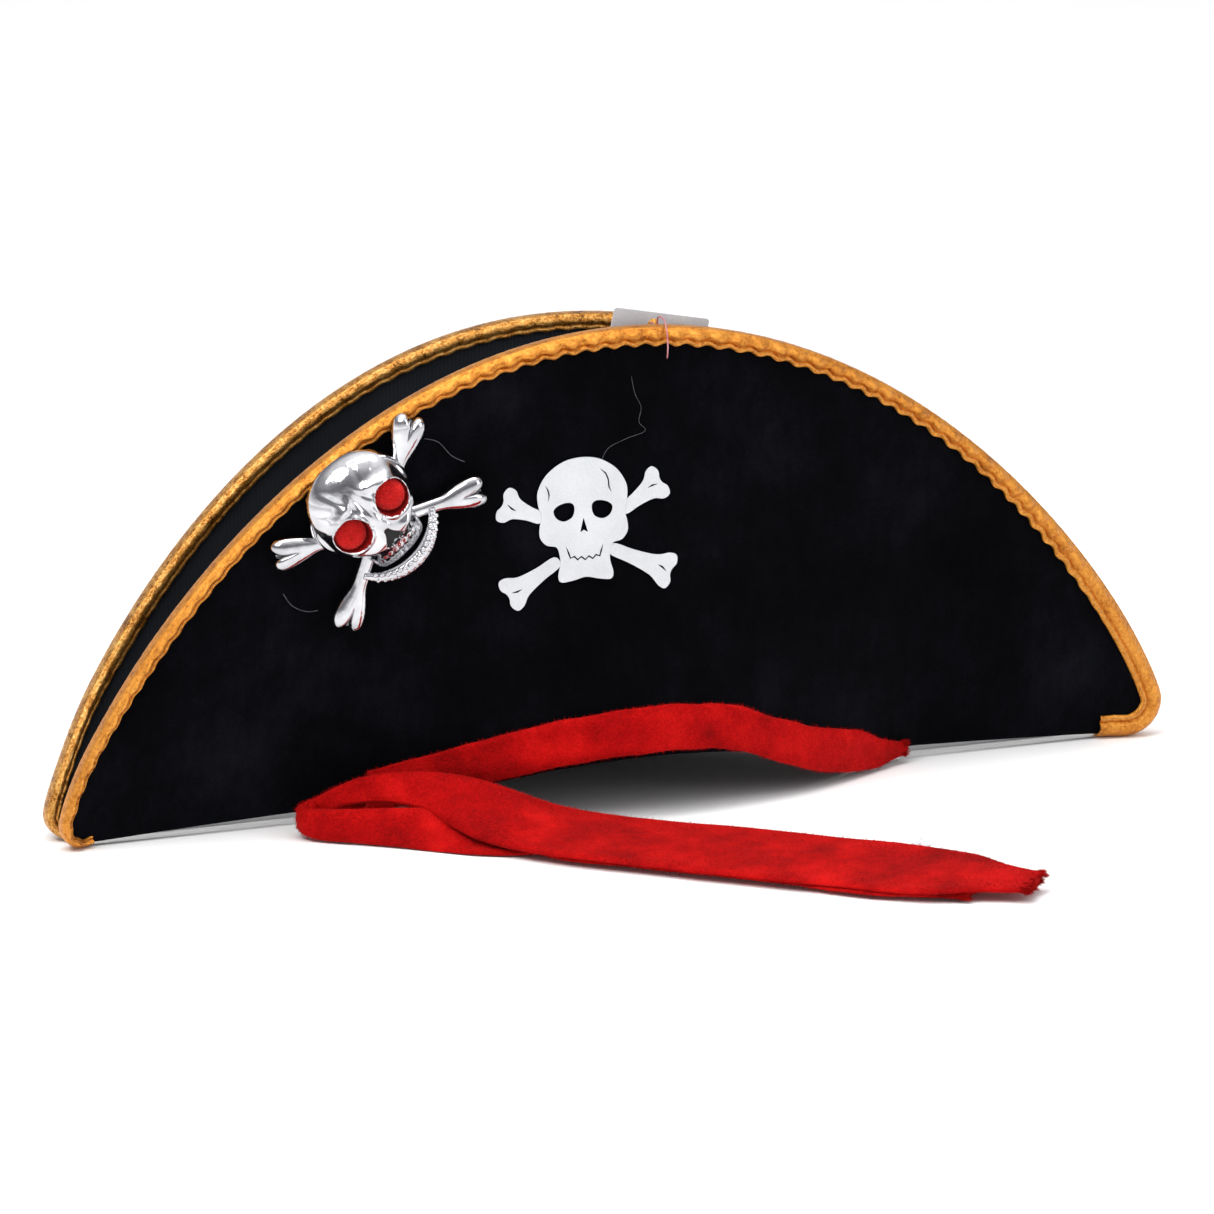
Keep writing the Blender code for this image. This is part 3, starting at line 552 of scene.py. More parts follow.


# In both golds the first colour is painted crease shade, the middle one the lame's own gold and the last a
# painted glint.
front_gold = gold_finish("orange_gold_lame", (0.110, 0.026, 0.003), (0.50, 0.170, 0.014),
                         (0.90, 0.42, 0.075), 640.0, 0.33, 0.34)
back_gold = gold_finish("crinkled_gold_foil", (0.016, 0.006, 0.002), (0.46, 0.175, 0.020),
                        (1.0, 0.66, 0.22), 760.0, 0.37, 0.20)
for (word, side), gold in zip(SIDES, (front_gold, back_gold)):
    shape = bmesh.new()
    skin(shape, [strip_section(side, *station) for station in edge_stations(side, edge_columns)])
    strip = add_piece(f"{word}_gold_edge", shape, gold, sharp=60.0)
    settle(strip, f"{word}_binding")

# ---------------------------------------------------------------- the edge's stitches
# One row of gold machine stitches holds each strip, a little in from its raw edge.
# Every stitch is a short thread that dips at both ends into the lame.

stitch_pitch = 0.0026
stitch_length = 0.0019
stitch_radius = 0.00024
stitch_inset = 0.0013


def capsule(shape, start, end, out, radius, sides=6):
    """A short rounded thread from start to end, its ends sunk a little."""
    ahead = (end - start).normalized()
    aside = ahead.cross(out).normalized()
    rings = []
    for along, thick, rise in ((0.0, 0.35, -0.9), (0.12, 0.85, -0.2), (0.5, 1.0, 0.35),
                               (0.88, 0.85, -0.2), (1.0, 0.35, -0.9)):
        middle = start + (end - start) * along + out * (radius * rise)
        rings.append([middle + (aside * cos + out * sin) * radius * thick for cos, sin in circle(sides)])
    skin(shape, rings)


gold_thread = Finish("gold_thread", Roughness=0.55, Sheen_Weight=0.1).mottled(
    (1800.0,), (0.3, (0.36, 0.13, 0.015)), (0.7, (0.72, 0.34, 0.060)), 0.0001)
for word, side in SIDES:
    shape = bmesh.new()
    row = []
    for place, inward, face, travelled in edge_stations(side, edge_columns):
        phase, drawn = pucker(side, place, travelled)
        share = 1.0 - stitch_inset / face
        reach = face * share + pucker_sway * drawn * math.cos(phase)
        depth = lame_out + face_relief(side, share, phase, drawn, travelled) + stitch_radius
        row.append((travelled, on_brim(side, *(place + inward * reach), depth)))
    due = stitch_pitch
    for (before, start), (after, end) in zip(row, row[1:]):
        if after >= due:
            ahead = (end - start).normalized()
            out = (Vector((0.0, side, 0.0)) - ahead * ahead.y * side).normalized()
            capsule(shape, start - ahead * stitch_length / 2, start + ahead * stitch_length / 2, out,
                    stitch_radius)
            due += stitch_pitch
    stitches = add_piece(f"{word}_edge_stitches", shape, gold_thread, sharp=80.0)
    settle(stitches, f"{word}_binding_stitch")

# ---------------------------------------------------------------- the crown
# A velvet tube and an oval top, seamed together, with a loose lining and a twill sweatband.
# It stands between the two halves of the brim and holds the wearer's head.

crown_height = 0.102
crown_foot = 0.003
crown_stand_off = 0.008
crown_cloth = 0.0012
crown_lining = 0.0008
sweatband_height = 0.028
sweatband_cloth = 0.0012
crown_columns = 144


def crown_contour(z, inset, buckle=0.0):
    """The crown's outline this far inside its outer face, at a height that follows the arch."""
    share = z / crown_height
    length = head_half_length - 0.017 - 0.018 * share
    outline = []
    heights = []
    for i in range(crown_columns):
        turn = math.tau * i / crown_columns
        x = length * math.cos(turn)
        side = BACK if math.sin(turn) >= 0 else FRONT
        lift = face_arch_rise * arch_at(x) * (1.0 - share) if side == FRONT else 0.0
        heights.append(z + lift)
        face = side * on_brim(side, x, z + lift, -(lining_out + gap)).y
        reach = (face - gap - crown_stand_off * share) * math.sqrt(1.0 - math.cos(turn) ** 16)
        reach -= buckle * (0.5 + 0.5 * lumps(x, side, z, 0.02)) * math.sin(math.pi * share)
        outline.append(Vector((x, side * reach)))
    moved = []
    for i, (point, height) in enumerate(zip(outline, heights)):
        along = outline[(i + 1) % crown_columns] - outline[i - 1]
        inwards = Vector((-along.y, along.x)).normalized()
        moved.append((point + inwards * inset).to_3d() + Vector((0.0, 0.0, height)))
    return moved


def ring_wall(name, low, high, inset, thickness, finish, steps=18, buckle=0.0):
    """A wall round the head, open at the top and the bottom, with rounded rims."""
    shape = bmesh.new()
    rim = thickness * 0.3
    heights = [low + rim] + [low + (high - low) * i / steps for i in range(1, steps)] + [high - rim]
    rings = [crown_contour(z, inset, buckle) for z in heights]
    rings.append(crown_contour(high, inset + thickness / 2, buckle))
    rings += [crown_contour(z, inset + thickness, buckle) for z in reversed(heights)]
    rings.append(crown_contour(low, inset + thickness / 2, buckle))
    skin(shape, rings, closed=True)
    return add_piece(name, shape, finish)


def capped(name, wall_heights, inset, thickness, rise, finish, buckle):
    """A cloth shell over the head: walls, if any, and a softly domed top."""
    shape = bmesh.new()
    rings = []
    for skin_inset, lower in ((inset, 0.0), (inset + thickness, thickness)):
        one = [crown_contour(z, skin_inset, buckle) for z in wall_heights]
        rim = one[-1] if one else crown_contour(crown_height, skin_inset)
        middle = sum(rim, Vector()) / len(rim)
        for share in (0.97, 0.9, 0.78, 0.62, 0.45, 0.28, 0.12, 0.03):
            dome = rise * math.sqrt(1.0 - share**2)
            one.append([middle + (point - middle) * share + Vector(
                (0.0, 0.0, dome - lower + 0.0015 * lumps(point.x * share, point.y * share, 0.0, 0.03)))
                for point in rim])
        if not wall_heights:
            one.insert(0, [point - Vector((0.0, 0.0, lower)) for point in rim])
        rings += one if lower == 0.0 else reversed(one)
        if lower == 0.0:
            tip_join = len(rings)
    rows = [[shape.verts.new(point) for point in ring] for ring in rings]
    for k in range(len(rows)):
        if k == tip_join - 1:
            continue
        low_row, high_row = rows[k], rows[(k + 1) % len(rows)]
        for i in range(len(low_row)):
            after = (i + 1) % len(low_row)
            shape.faces.new((low_row[i], low_row[after], high_row[after], high_row[i]))
    shape.faces.new(rows[tip_join - 1])
    shape.faces.new(rows[tip_join])
    return add_piece(name, shape, finish)


side_cloth = ring_wall("crown_side_velvet", crown_foot, crown_height, 0.0, crown_cloth,
                       velvet_finish.material, buckle=0.0006)
settle(side_cloth, "crown_side")

tip_cloth = capped("crown_tip_velvet", [], 0.0, crown_cloth, 0.0045, velvet_finish.material, 0.0)
settle(tip_cloth, "crown_tip")

lining_heights = [crown_foot + 0.0005 + (crown_height - 0.004 - crown_foot) * i / 16 for i in range(17)]
head_lining = capped("crown_lining_cloth", lining_heights, crown_cloth + gap, crown_lining, 0.0022,
                     lining_finish.material, 0.0018)
settle(head_lining, "crown_lining")

twill_finish = Finish("black_twill", Roughness=0.8, Specular_IOR_Level=0.3)
twill_lines = twill_finish.start.node(
    "TexWave", {"wave_type": "BANDS", "bands_direction": "DIAGONAL"},
    {"Vector": twill_finish.place, "Scale": 420.0, "Distortion": 0.6})
twill_finish.set(Base_Color=twill_lines.colours((0.2, (0.010, 0.010, 0.011)), (0.8, (0.030, 0.030, 0.033))),
                 Normal=twill_finish.bump(twill_lines, 0.00025))
sweat_strip = ring_wall("sweatband_twill", crown_foot + 0.0005, crown_foot + sweatband_height,
                        crown_cloth + crown_lining + 3.5 * gap, sweatband_cloth,
                        twill_finish.material, steps=8)
settle(sweat_strip, "sweatband")

# ---------------------------------------------------------------- the sash's band
# A strip of red velvet follows the arch over the face and is tacked to the brim there.
# Its right end is cut raw and hangs a little loose; its edges show the velvet's pile.

band_width = 0.0180
band_thickness = 0.0030
band_ends = (-0.112, 0.126)
pile_length = 0.0015
pile_radius = 0.00011
pile_sunk = 0.0003
pile_scatter = 0.0006

red_finish = Finish("red_velvet", Roughness=0.9, Specular_IOR_Level=0.08, Sheen_Weight=0.10,
                    Sheen_Roughness=0.35, Sheen_Tint=(1.0, 0.22, 0.18, 1.0))
red_strokes = red_finish.speckle(42.0, 4.0, 0.6)
red_nap = red_finish.speckle(1100.0, 3.0, 0.7)
red_finish.set(
    Base_Color=(red_strokes * 0.62 + red_nap * 0.38).colours(
        (0.36, (0.200, 0.0006, 0.0010)), (0.50, (0.370, 0.0014, 0.0018)), (0.66, (0.580, 0.0060, 0.0050))),
    Normal=red_finish.bump(red_nap * 0.7 + red_strokes * 0.3, 0.0007))


def pile(shape, spots, count, seed, length=pile_length):
    """Short fibres of the pile, each a thin spike, at random among spots with a way out."""
    draw = random.Random(seed)
    for _ in range(count):
        spot, out = draw.choice(spots)
        ahead = (out + Vector([draw.uniform(-0.6, 0.6) for _ in range(3)])).normalized()
        aside = ahead.orthogonal().normalized()
        third = ahead.cross(aside)
        foot = (spot + aside * draw.uniform(-pile_scatter, pile_scatter)
                + third * draw.uniform(-pile_scatter, pile_scatter))
        ring = [shape.verts.new(foot - ahead * pile_sunk + (aside * cos + third * sin) * pile_radius)
                for cos, sin in circle(3)]
        end = foot + ahead * length * draw.uniform(0.4, 1.0)
        end.z = max(end.z, 0.0001)
        tip = shape.verts.new(end)
        shape.faces.new(reversed(ring))
        for i in range(3):
            shape.faces.new((ring[i], ring[(i + 1) % 3], tip))


def band_edges(x):
    """The band's lower and upper edges, which sag past the arch near its right end."""
    sag = 0.008 * math.sin(math.pi * min(1.0, max(0.0, (x - 0.020) / 0.120))) ** 2
    low = low_at(FRONT, x) - 0.0005 - sag + 0.0005 * lumps(x, 0.0, 0.0, 0.012)
    narrow = 1.0 - 0.68 * smooth_step((x - 0.095) / 0.033)
    return low, low + band_width * narrow + 0.0006 * lumps(x, 3.0, 0.0, 0.015)


def band_ring(x, ragged):
    """One section of the band: full in the middle, soft at its edges, flat on the brim."""
    low, high = band_edges(x)
    middle, half = (low + high) / 2, (high - low) / 2
    near, ring = lame_in + 2 * gap, []
    for cos, sin in circle(36):
        up = math.copysign(abs(cos) ** 0.55, cos)
        out = math.copysign(abs(sin) ** 0.6, sin)
        z = middle + half * up
        fold = 0.0005 * lumps(x, z, 7.0, 0.016) + 0.0003 * math.sin(up * 5.0 + x * 60.0)
        depth = near + band_thickness * (0.5 + 0.5 * out) + (fold if out > 0 else 0.0)
        torn = ragged * 0.0016 * lumps(z, out, 1.0, 0.0022)
        ring.append(on_brim(FRONT, x + torn, z, depth))
    return ring


shape = bmesh.new()
band_steps = 190
rings = []
for step in range(band_steps + 1):
    x = band_ends[0] + (band_ends[1] - band_ends[0]) * step / band_steps
    rings.append(band_ring(x, smooth_step((step - band_steps + 8) / 8)))
skin(shape, rings)
shape.normal_update()
edge_spots = [(vert.co.copy(), vert.normal.copy()) for vert in shape.verts]
end_spots = [(point, Vector((1.0, -0.2, -0.3))) for ring in rings[-2:] for point in ring]
pile(shape, edge_spots, 5200, 11)
pile(shape, end_spots, 420, 12, length=0.0024)
band = add_piece("sash_band_velvet", shape, red_finish.material, sharp=80.0)
settle(band, "sash_band")

# ---------------------------------------------------------------- the sash's loop and tails
# The rest of the sash leaves the band at the wearer's right in a folded loop, and its two
# tails lie one on the other on the table. Both are soft strips, cut raw at their ends.

tail_width = 0.056
tail_half_thickness = 0.0015
tail_steps, tail_fibres = 300, 6500
tail_pivot = Vector((-0.0575, -0.0740, 0.0))
tail_heading = math.radians(-42.5)
upper_tail_length = 0.210
lower_tail_length = 0.186
ahead_way = Vector((math.cos(tail_heading), math.sin(tail_heading), 0.0))
aside_way = Vector((-ahead_way.y, ahead_way.x, 0.0))
up_way = Vector((0.0, 0.0, 1.0))


def between(a, b, c, d, t):
    """A value between b and c on the smooth curve that also passes a and d."""
    return 0.5 * (b * 2 + (c - a) * t + (a * 2 - b * 5 + c * 4 - d) * t**2
                  + (b * 3 - a - c * 3 + d) * t**3)


def smooth_through(values, t):
    """A value on a smooth curve through the given ones, at t from 0 to their last index."""
    last = len(values) - 1
    i = min(last - 1, int(t))
    a, b, c, d = (values[min(last, max(0, i + k))] for k in (-1, 0, 1, 2))
    return between(a, b, c, d, t - i)


def soft_strip(name, stations, seed, floor):
    """A soft strip through stations of middle, way across, half width, half thickness."""
    shape = bmesh.new()
    rings = []
    last = len(stations) - 1
    travelled, before = 0.0, None
    for step in range(tail_steps + 1):
        t = last * step / tail_steps
        middle, across, half, thick, crease = (smooth_through([s[k] for s in stations], t)
                                               for k in range(5))
        ahead = smooth_through([s[0] for s in stations], min(last, t + 0.05)) - smooth_through(
            [s[0] for s in stations], max(0.0, t - 0.05))
        across = (across - ahead * (across.dot(ahead) / ahead.length_squared)).normalized()
        out = ahead.cross(across).normalized()
        travelled += (middle - before).length if before else 0.0
        before = middle
        end = smooth_step((step - tail_steps + 10) / 10)
        ring = []
        for cos, sin in circle(44):
            wide = math.copysign(abs(cos) ** 0.6, cos)
            high = math.copysign(abs(sin) ** 0.62, sin)
            edge = half * (1.0 + 0.05 * lumps(travelled, seed, math.copysign(0.2, wide), 0.03))
            fold = 0.0011 * lumps(travelled, wide * 0.02, seed, 0.024)
            fold += 0.0004 * lumps(travelled, wide * 0.02, seed + 1.0, 0.008)
            fold -= crease * math.exp(-((wide + 0.12) / 0.10) ** 2)
            fold += 0.0009 * math.exp(-((abs(wide) - 0.90) / 0.09) ** 2)
            lift = thick * high + (fold * (1.0 - wide**4) if high > 0 else 0.25 * fold)
            point = middle + across * (edge * wide) + out * lift
            point += ahead.normalized() * (end * 0.0035 * lumps(wide * half, seed, high, 0.006))
            point.z = max(point.z, floor + 0.0003 * (1.0 + lumps(point.x, point.y, seed, 0.01)))
            ring.append(point)
        rings.append(ring)
    skin(shape, rings)
    shape.normal_update()
    spots = [(vert.co.copy(), vert.normal.copy()) for vert in shape.verts]
    spots = [spot for spot in spots if spot[0].z > floor + 0.0012]
    pile(shape, spots, tail_fibres, seed)
    tips = [(point, ahead.normalized() + up_way * 0.1) for ring in rings[-3:] for point in ring
            if point.z > floor + 0.0006]
    pile(shape, tips, 900, seed + 1, length=0.0030)
    return add_piece(name, shape, red_finish.material, sharp=80.0)


def tail_stations(length, shift, level, blunt, slope):
    """A tail from its pivot to its end, as it lies on the table, its far edge the higher."""
    made = []
    for along in (0.9, 1.9, 2.9, 3.9, 4.9, 5.9, 6.7, 7.4, 8.0):
        width = tail_width * ((0.92 if slope else 0.80) + 0.06 * min(1.0, along / 3))
        width *= 1.0 - blunt * smooth_step((along - 6.2) / 1.8)
        drift = shift * smooth_step((along - 4.5) / 3.0)
        middle = tail_pivot + ahead_way * (length * along / 8.0) + aside_way * drift + up_way * level
        made.append((middle, aside_way + up_way * slope, width / 2, tail_half_thickness, 0.0))
    return made


# Each row is a place, the way across the strip there, half its width, half its thickness and
# the depth of its crease.
upper_strand = [
    ((-0.1380, -0.0215, 0.0095), (0.10, 0.10, 0.98), 0.0026, 0.0016, 0.0),
    ((-0.1300, -0.0250, 0.0135), (0.10, 0.15, 0.98), 0.0040, 0.0026, 0.0),
    ((-0.1180, -0.0315, 0.0185), (0.15, 0.20, 0.95), 0.0052, 0.0030, 0.0),
    ((-0.1040, -0.0405, 0.0200), (0.28, 0.30, 0.88), 0.0070, 0.0032, 0.0),
    ((-0.0900, -0.0500, 0.0180), (0.48, 0.52, 0.62), 0.0105, 0.0028, 0.0),
    ((-0.0740, -0.0620, 0.0118), (0.62, 0.68, 0.32), 0.0180, 0.0022, 0.0),
    ((-0.0575, -0.0740, 0.0072), aside_way + up_way * 0.14, 0.0225, 0.0018, 0.0),
]
lower_strand = [
    ((-0.1160, -0.0260, 0.0120), (0.0, 0.0, 1.0), 0.0052, 0.0012, 0.0),
    ((-0.1270, -0.0235, 0.0100), (0.0, 0.0, 1.0), 0.0058, 0.0013, 0.0),
    ((-0.1375, -0.0225, 0.0085), (0.0, 0.0, 1.0), 0.0052, 0.0022, 0.0),
    ((-0.1420, -0.0265, 0.0075), (-0.1, 0.0, 1.0), 0.0048, 0.0032, 0.0),
    ((-0.1370, -0.0330, 0.0066), (0.0, 0.15, 0.95), 0.0062, 0.0036, 0.0010),
    ((-0.1200, -0.0440, 0.0066), (0.2, 0.25, 0.85), 0.0074, 0.0034, 0.0020),
    ((-0.1020, -0.0550, 0.0062), (0.4, 0.45, 0.60), 0.0098, 0.0028, 0.0020),
    ((-0.0800, -0.0660, 0.0042), (0.62, 0.68, 0.20), 0.0150, 0.0018, 0.0006),
    ((-0.0575, -0.0740, 0.0022), aside_way, 0.0185, 0.0015, 0.0),
]
for word, strand, length, shift, level, blunt, slope, seed, flat_length in (
        ("upper", upper_strand, upper_tail_length, -0.0015, 0.0056, 0.60, 0.07, 31, 0.315),
        ("lower", lower_strand, lower_tail_length, -0.008, 0.0020, 0.50, 0.0, 47, 0.325)):
    stations = [(Vector(place), Vector(across), *sizes) for place, across, *sizes in strand]
    stations += tail_stations(length, shift, level, blunt, slope)
    floor = 0.0 if word == "lower" else 0.0002
    tail = soft_strip(f"sash_{word}_strip", stations, seed, floor)
    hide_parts(f"sash_tail_{word}")
    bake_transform(tail)
    if word == "upper":
        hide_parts("sash_knot")

# ---------------------------------------------------------------- the care label
# A blank tab of white satin ribbon, folded and caught in the upper tail's far edge.

label_start, label_length, label_half_width = 0.146, 0.009, 0.0065
white_satin = Finish("white_satin", Roughness=0.45, Sheen_Weight=0.2, Coat_Weight=0.05).mottled(
    (1500.0, 2.0, 0.5, (1.0, 0.15, 1.0)), (0.3, (0.60, 0.62, 0.66)), (0.7, (0.86, 0.87, 0.90)), 0.0001)
shape = bmesh.new()
rings = []
for step in range(17):
    along = label_start + label_length * step / 16
    ring = []
    for cos, sin in circle(24):
        wide = math.copysign(abs(cos) ** 0.5, cos)
        across = tail_width / 2 + 0.0025 + label_half_width * wide
        lift = 0.0078 + 0.0008 * wide + 0.0004 * sin
        lift += 0.0005 * math.sin(along * 420.0)
        ring.append(tail_pivot + ahead_way * along + aside_way * across + up_way * lift)
    rings.append(ring)
skin(shape, rings)
label = add_piece("blank_label", shape, white_satin)
settle(label, "care_label", "tail_upper")

# ---------------------------------------------------------------- the badge's bones
# The badge is thin plastic, vacuum-formed over a mould and metallised like a mirror.
# It lies flat against the velvet; its crossed bones are half-round, with knuckled ends.

badge_at_x = -0.1105
badge_below_edge = 0.0366
badge_turn = math.radians(43.3)
bone_length = 0.0415
bone_slant = math.radians(29.0)
bone_half_width = 0.0036
bone_thickness = 0.0050
bone_plate = 0.0020

chrome_finish = Finish("metallised_plastic", Metallic=1.0, Specular_IOR_Level=0.5)
chrome_wear = chrome_finish.speckle(90.0, 3.0)
chrome_dimples = chrome_finish.speckle(420.0, 2.0)
chrome_finish.set(
    Base_Color=chrome_wear.colours((0.35, (0.46, 0.46, 0.48)), (0.65, (0.66, 0.66, 0.68))),
    Roughness=0.05 + 0.12 * chrome_wear,
    Normal=chrome_finish.bump(chrome_dimples * 0.7 + chrome_wear * 0.3, 0.00010))


class BadgePlane:
    """The flat plane that the badge lies in, just clear of the velvet and the gold edge."""

    def __init__(self):
        x = badge_at_x
        z = top_at(FRONT, x) - badge_below_edge
        step = 0.004
        across = on_brim(FRONT, x + step, z, 0) - on_brim(FRONT, x - step, z, 0)
        upward = on_brim(FRONT, x, z + step, 0) - on_brim(FRONT, x, z - step, 0)
        self.out = across.cross(upward).normalized()
        level = across.normalized()
        rise = self.out.cross(level)
        self.right = level * math.cos(badge_turn) + rise * math.sin(badge_turn)
        self.up = self.out.cross(self.right)
        self.origin = on_brim(FRONT, x, z, lame_out)
        highest = 0.0
        for reach in (0.5, 0.8, 1.0, 1.12):
            for cos, sin in circle(24):
                place = self.at(bone_length * reach * cos, bone_length * reach * sin, 0)
                if place.z < top_at(FRONT, place.x):
                    cloth = on_brim(FRONT, place.x, place.z, lame_out)
                    highest = max(highest, (cloth - place).dot(self.out))
        self.origin += self.out * (gap + highest)

    def at(self, right, up, out):
        return self.origin + self.right * right + self.up * up + self.out * out


badge = BadgePlane()


def bone_profile(share):
    """A bone's half width and height from its middle at 0 to its knuckled end at 1."""
    flare = smooth_step((share - 0.62) / 0.34)
    waist = 1.0 - 0.06 * math.sin(math.pi * min(1.0, share / 0.8))
    return bone_half_width * waist + 0.0033 * flare, bone_thickness * (0.82 + 0.12 * flare)


def half_round_bone(shape, hand, way):
    """One arm of a bone from the badge's middle outwards: a rounded shaft that parts in two lobes."""
    ahead = Vector((math.cos(bone_slant) * way, hand * math.sin(bone_slant) * way))
    aside = Vector((-ahead.y, ahead.x))
    rings = []
    for step in range(73):
        share = 1.0 - 0.98 * (1.0 - step / 72) ** 1.35
        half, high = bone_profile(share)
        flare = smooth_step((share - 0.76) / 0.20)
        closing = math.sqrt(max(0.0, 1.0 - max(0.0, (share - 0.86) / 0.14) ** 2))
        ring = []
        for i in range(41):
            turn = math.pi * i / 40
            across = math.cos(turn)
            lobe = math.sqrt(max(0.0, 1.0 - ((abs(across) - 0.52) / 0.52) ** 2))
            along = share * (bone_length - 0.0008 + 0.0052 * lobe * flare)
            round_back = math.sin(turn) ** 0.8 * (1.0 - flare)
            round_back += flare * (0.84 + 0.22 * lobe) * math.sin(turn) ** 0.5
            spot_2d = ahead * along + aside * (half * across)
            ring.append(badge.at(*spot_2d, max(0.0, high * round_back * closing)))
        rings.append(ring)
    skin(shape, rings)


shape = bmesh.new()
for hand in (-1, 1):
    for way in (-1, 1):
        half_round_bone(shape, hand, way)
bones = add_piece("badge_crossed_bones", shape, chrome_finish.material, sharp=70.0)
settle(bones, "badge_crossbones")

# ---------------------------------------------------------------- the badge's skull
# The skull is the badge's high dome: a full brow over two round pits, cheekbones, a sharp
# nose hole and a row of upper teeth, all in one formed skin.

skull_relief = 0.0130
eye_radius = 0.0072
eye_at = (0.0110, 0.0095)
skull_base = bone_plate + gap
skull_half = ((0.0, 34.0), (12.5, 31.0), (20.5, 23.0), (23.0, 12.0), (19.5, 2.0),
              (14.0, -4.0), (12.0, -13.0), (6.0, -16.0), (0.0, -16.5))
skull_around, skull_rings = 168, 74


def closed_curve(half, steps):
    """A smooth closed outline, the same on both sides of its middle line."""
    half = [Vector((a, b)) / 1000 for a, b in half]
    whole = half + [Vector((-point.x, point.y)) for point in reversed(half[1:-1])]
    count = len(whole)
    return [smooth_loop(whole, count * i / steps) for i in range(steps)]


def smooth_loop(points, t):
    """The point at t along a smooth closed curve through points."""
    i = int(t) % len(points)
    a, b, c, d = (points[(i + k) % len(points)] for k in (-1, 0, 1, 2))
    return between(a, b, c, d, t - int(t))


def hump(a, b, middle_a, middle_b, wide, tall, turn=0.0):
    """A smooth hill of height 1 in millimetres, longer one way, turned by degrees."""
    cos, sin = math.cos(math.radians(turn)), math.sin(math.radians(turn))
    x, y = a - middle_a, b - middle_b
    return math.exp(-(((x * cos + y * sin) / wide) ** 2 + ((y * cos - x * sin) / tall) ** 2))


def skull_height(point, share):
    """The skull's surface above its base, for a place and its share of the way to the rim."""
    a, b = abs(point.x) * 1000, point.y * 1000
    dome = math.sqrt(max(0.0, 1.0 - share**2.6))
    jaw = smooth_step((-2.0 - b) / 12.0)
    height = (skull_relief * (1.0 - 0.38 * jaw)) * dome + 0.0008
    mm = 0.001
    fade = smooth_step((1.0 - share) / 0.12)
    brow = 2.0 * hump(a, b, 10.5, 19.0, 8.0, 2.0, -18) + 1.1 * hump(a, b, 4.2, 14.0, 2.0, 4.0, -20)
    furrow = -0.9 * hump(a, b, 0.0, 17.0, 1.3, 5.0) - 0.7 * hump(a, b, 3.2, 19.5, 0.8, 4.0, 24)
    nose_bridge = 1.3 * hump(a, b, 0.0, 7.0, 2.2, 5.0) - 0.7 * hump(a, b, 2.6, 8.0, 0.7, 4.5, 8)
    cheek = 2.1 * hump(a, b, 14.5, -0.5, 5.5, 2.4, 24) + 1.0 * hump(a, b, 9.5, -2.5, 4.0, 2.0, -20)
    temple = -2.2 * hump(a, b, 21.0, 14.0, 2.6, 6.0, -8)
    hollow = -1.9 * hump(a, b, 12.5, -7.5, 3.0, 3.5, 12)
    plates = -0.5 * hump(a, b, 7.0, 26.0, 0.9, 6.0, -24) - 0.4 * hump(a, b, 15.0, 24.5, 5.0, 0.8, 40)
    gums = 0.9 * hump(a, b, 0.0, -10.5, 9.5, 2.6)
    teeth = 0.0
    if b < -7.0:
        row = smooth_step((-7.2 - b) / 1.6) * smooth_step((11.0 - a) / 2.0)
        teeth = row * (0.75 * abs(math.sin(math.pi * (a + 1.35) / 2.7)) ** 0.6 - 0.35)
    height += mm * fade * (brow + furrow + nose_bridge + cheek + temple + hollow + plates + gums + teeth)
    eye = (Vector((a, b)) - Vector(eye_at) * 1000).length / (eye_radius * 1000)
    rim = 0.0009 * math.exp(-((eye - 1.10) / 0.12) ** 2)
    pit = 1.0 - smooth_step((eye - 0.90) / 0.16)
    height = (height + rim) * (1.0 - pit) + min(height, 0.0050) * pit
    drop = b - 1.8
    inside = a - max(0.0, 1.0 + 3.4 * smooth_step(-drop / 7.5)) + 1.6 * smooth_step((-drop - 6.2) / 2.4) * 2
    nose = (1.0 - smooth_step((inside + 0.35) / 0.7)) * smooth_step((0.5 - drop) / 0.8)
    nose *= smooth_step((drop + 8.6) / 0.8)
    return height * (1.0 - nose) + min(height, 0.0088) * nose


outline = closed_curve(skull_half, skull_around)
centre = Vector((0.0, 0.006))
shape = bmesh.new()
rings = []
for step in range(skull_rings):
    share = math.sin(math.pi / 2 * (1.0 - step / skull_rings)) ** 0.8
    ring = []
    for point in outline:
        place = centre + (point - centre) * share
        ring.append(badge.at(place.x, place.y, skull_base + skull_height(place, share)))
    rings.append(ring)
under = [badge.at(point.x, point.y, skull_base) for point in outline]
skin(shape, [under] + rings)
skull = add_piece("badge_skull_dome", shape, chrome_finish.material, sharp=70.0)
settle(skull, "badge_skull")

# A thin black spot lies in the nose's hollow on the formed skin, making the nose hole black.

black_nose_fill = Finish("black_nose_fill", Roughness=0.6).mottled(
    (800.0,), (0.3, (0.002, 0.002, 0.002)), (0.7, (0.006, 0.006, 0.006)))
nose_half = ((0.0, 1.2), (1.0, 0.6), (2.0, -2.2), (4.2, -5.2), (3.9, -6.9), (2.2, -7.0), (0.9, -5.6),
             (0.0, -5.4))
shape = bmesh.new()
rings = []
for share, lift in ((1.0, 0.0089), (1.0, 0.0092), (0.9, 0.0093), (0.4, 0.0094)):
    rings.append([badge.at(point.x * share, -0.0030 + (point.y + 0.0030) * share, skull_base + lift)
                  for point in closed_curve(nose_half, 48)])
skin(shape, rings)
nose_spot = add_piece("badge_nose_hole", shape, black_nose_fill)
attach(nose_spot, "hat")

# ---------------------------------------------------------------- the badge's eyes
# A disc of red plush is glued into each eye pit and bulges out of it a little.

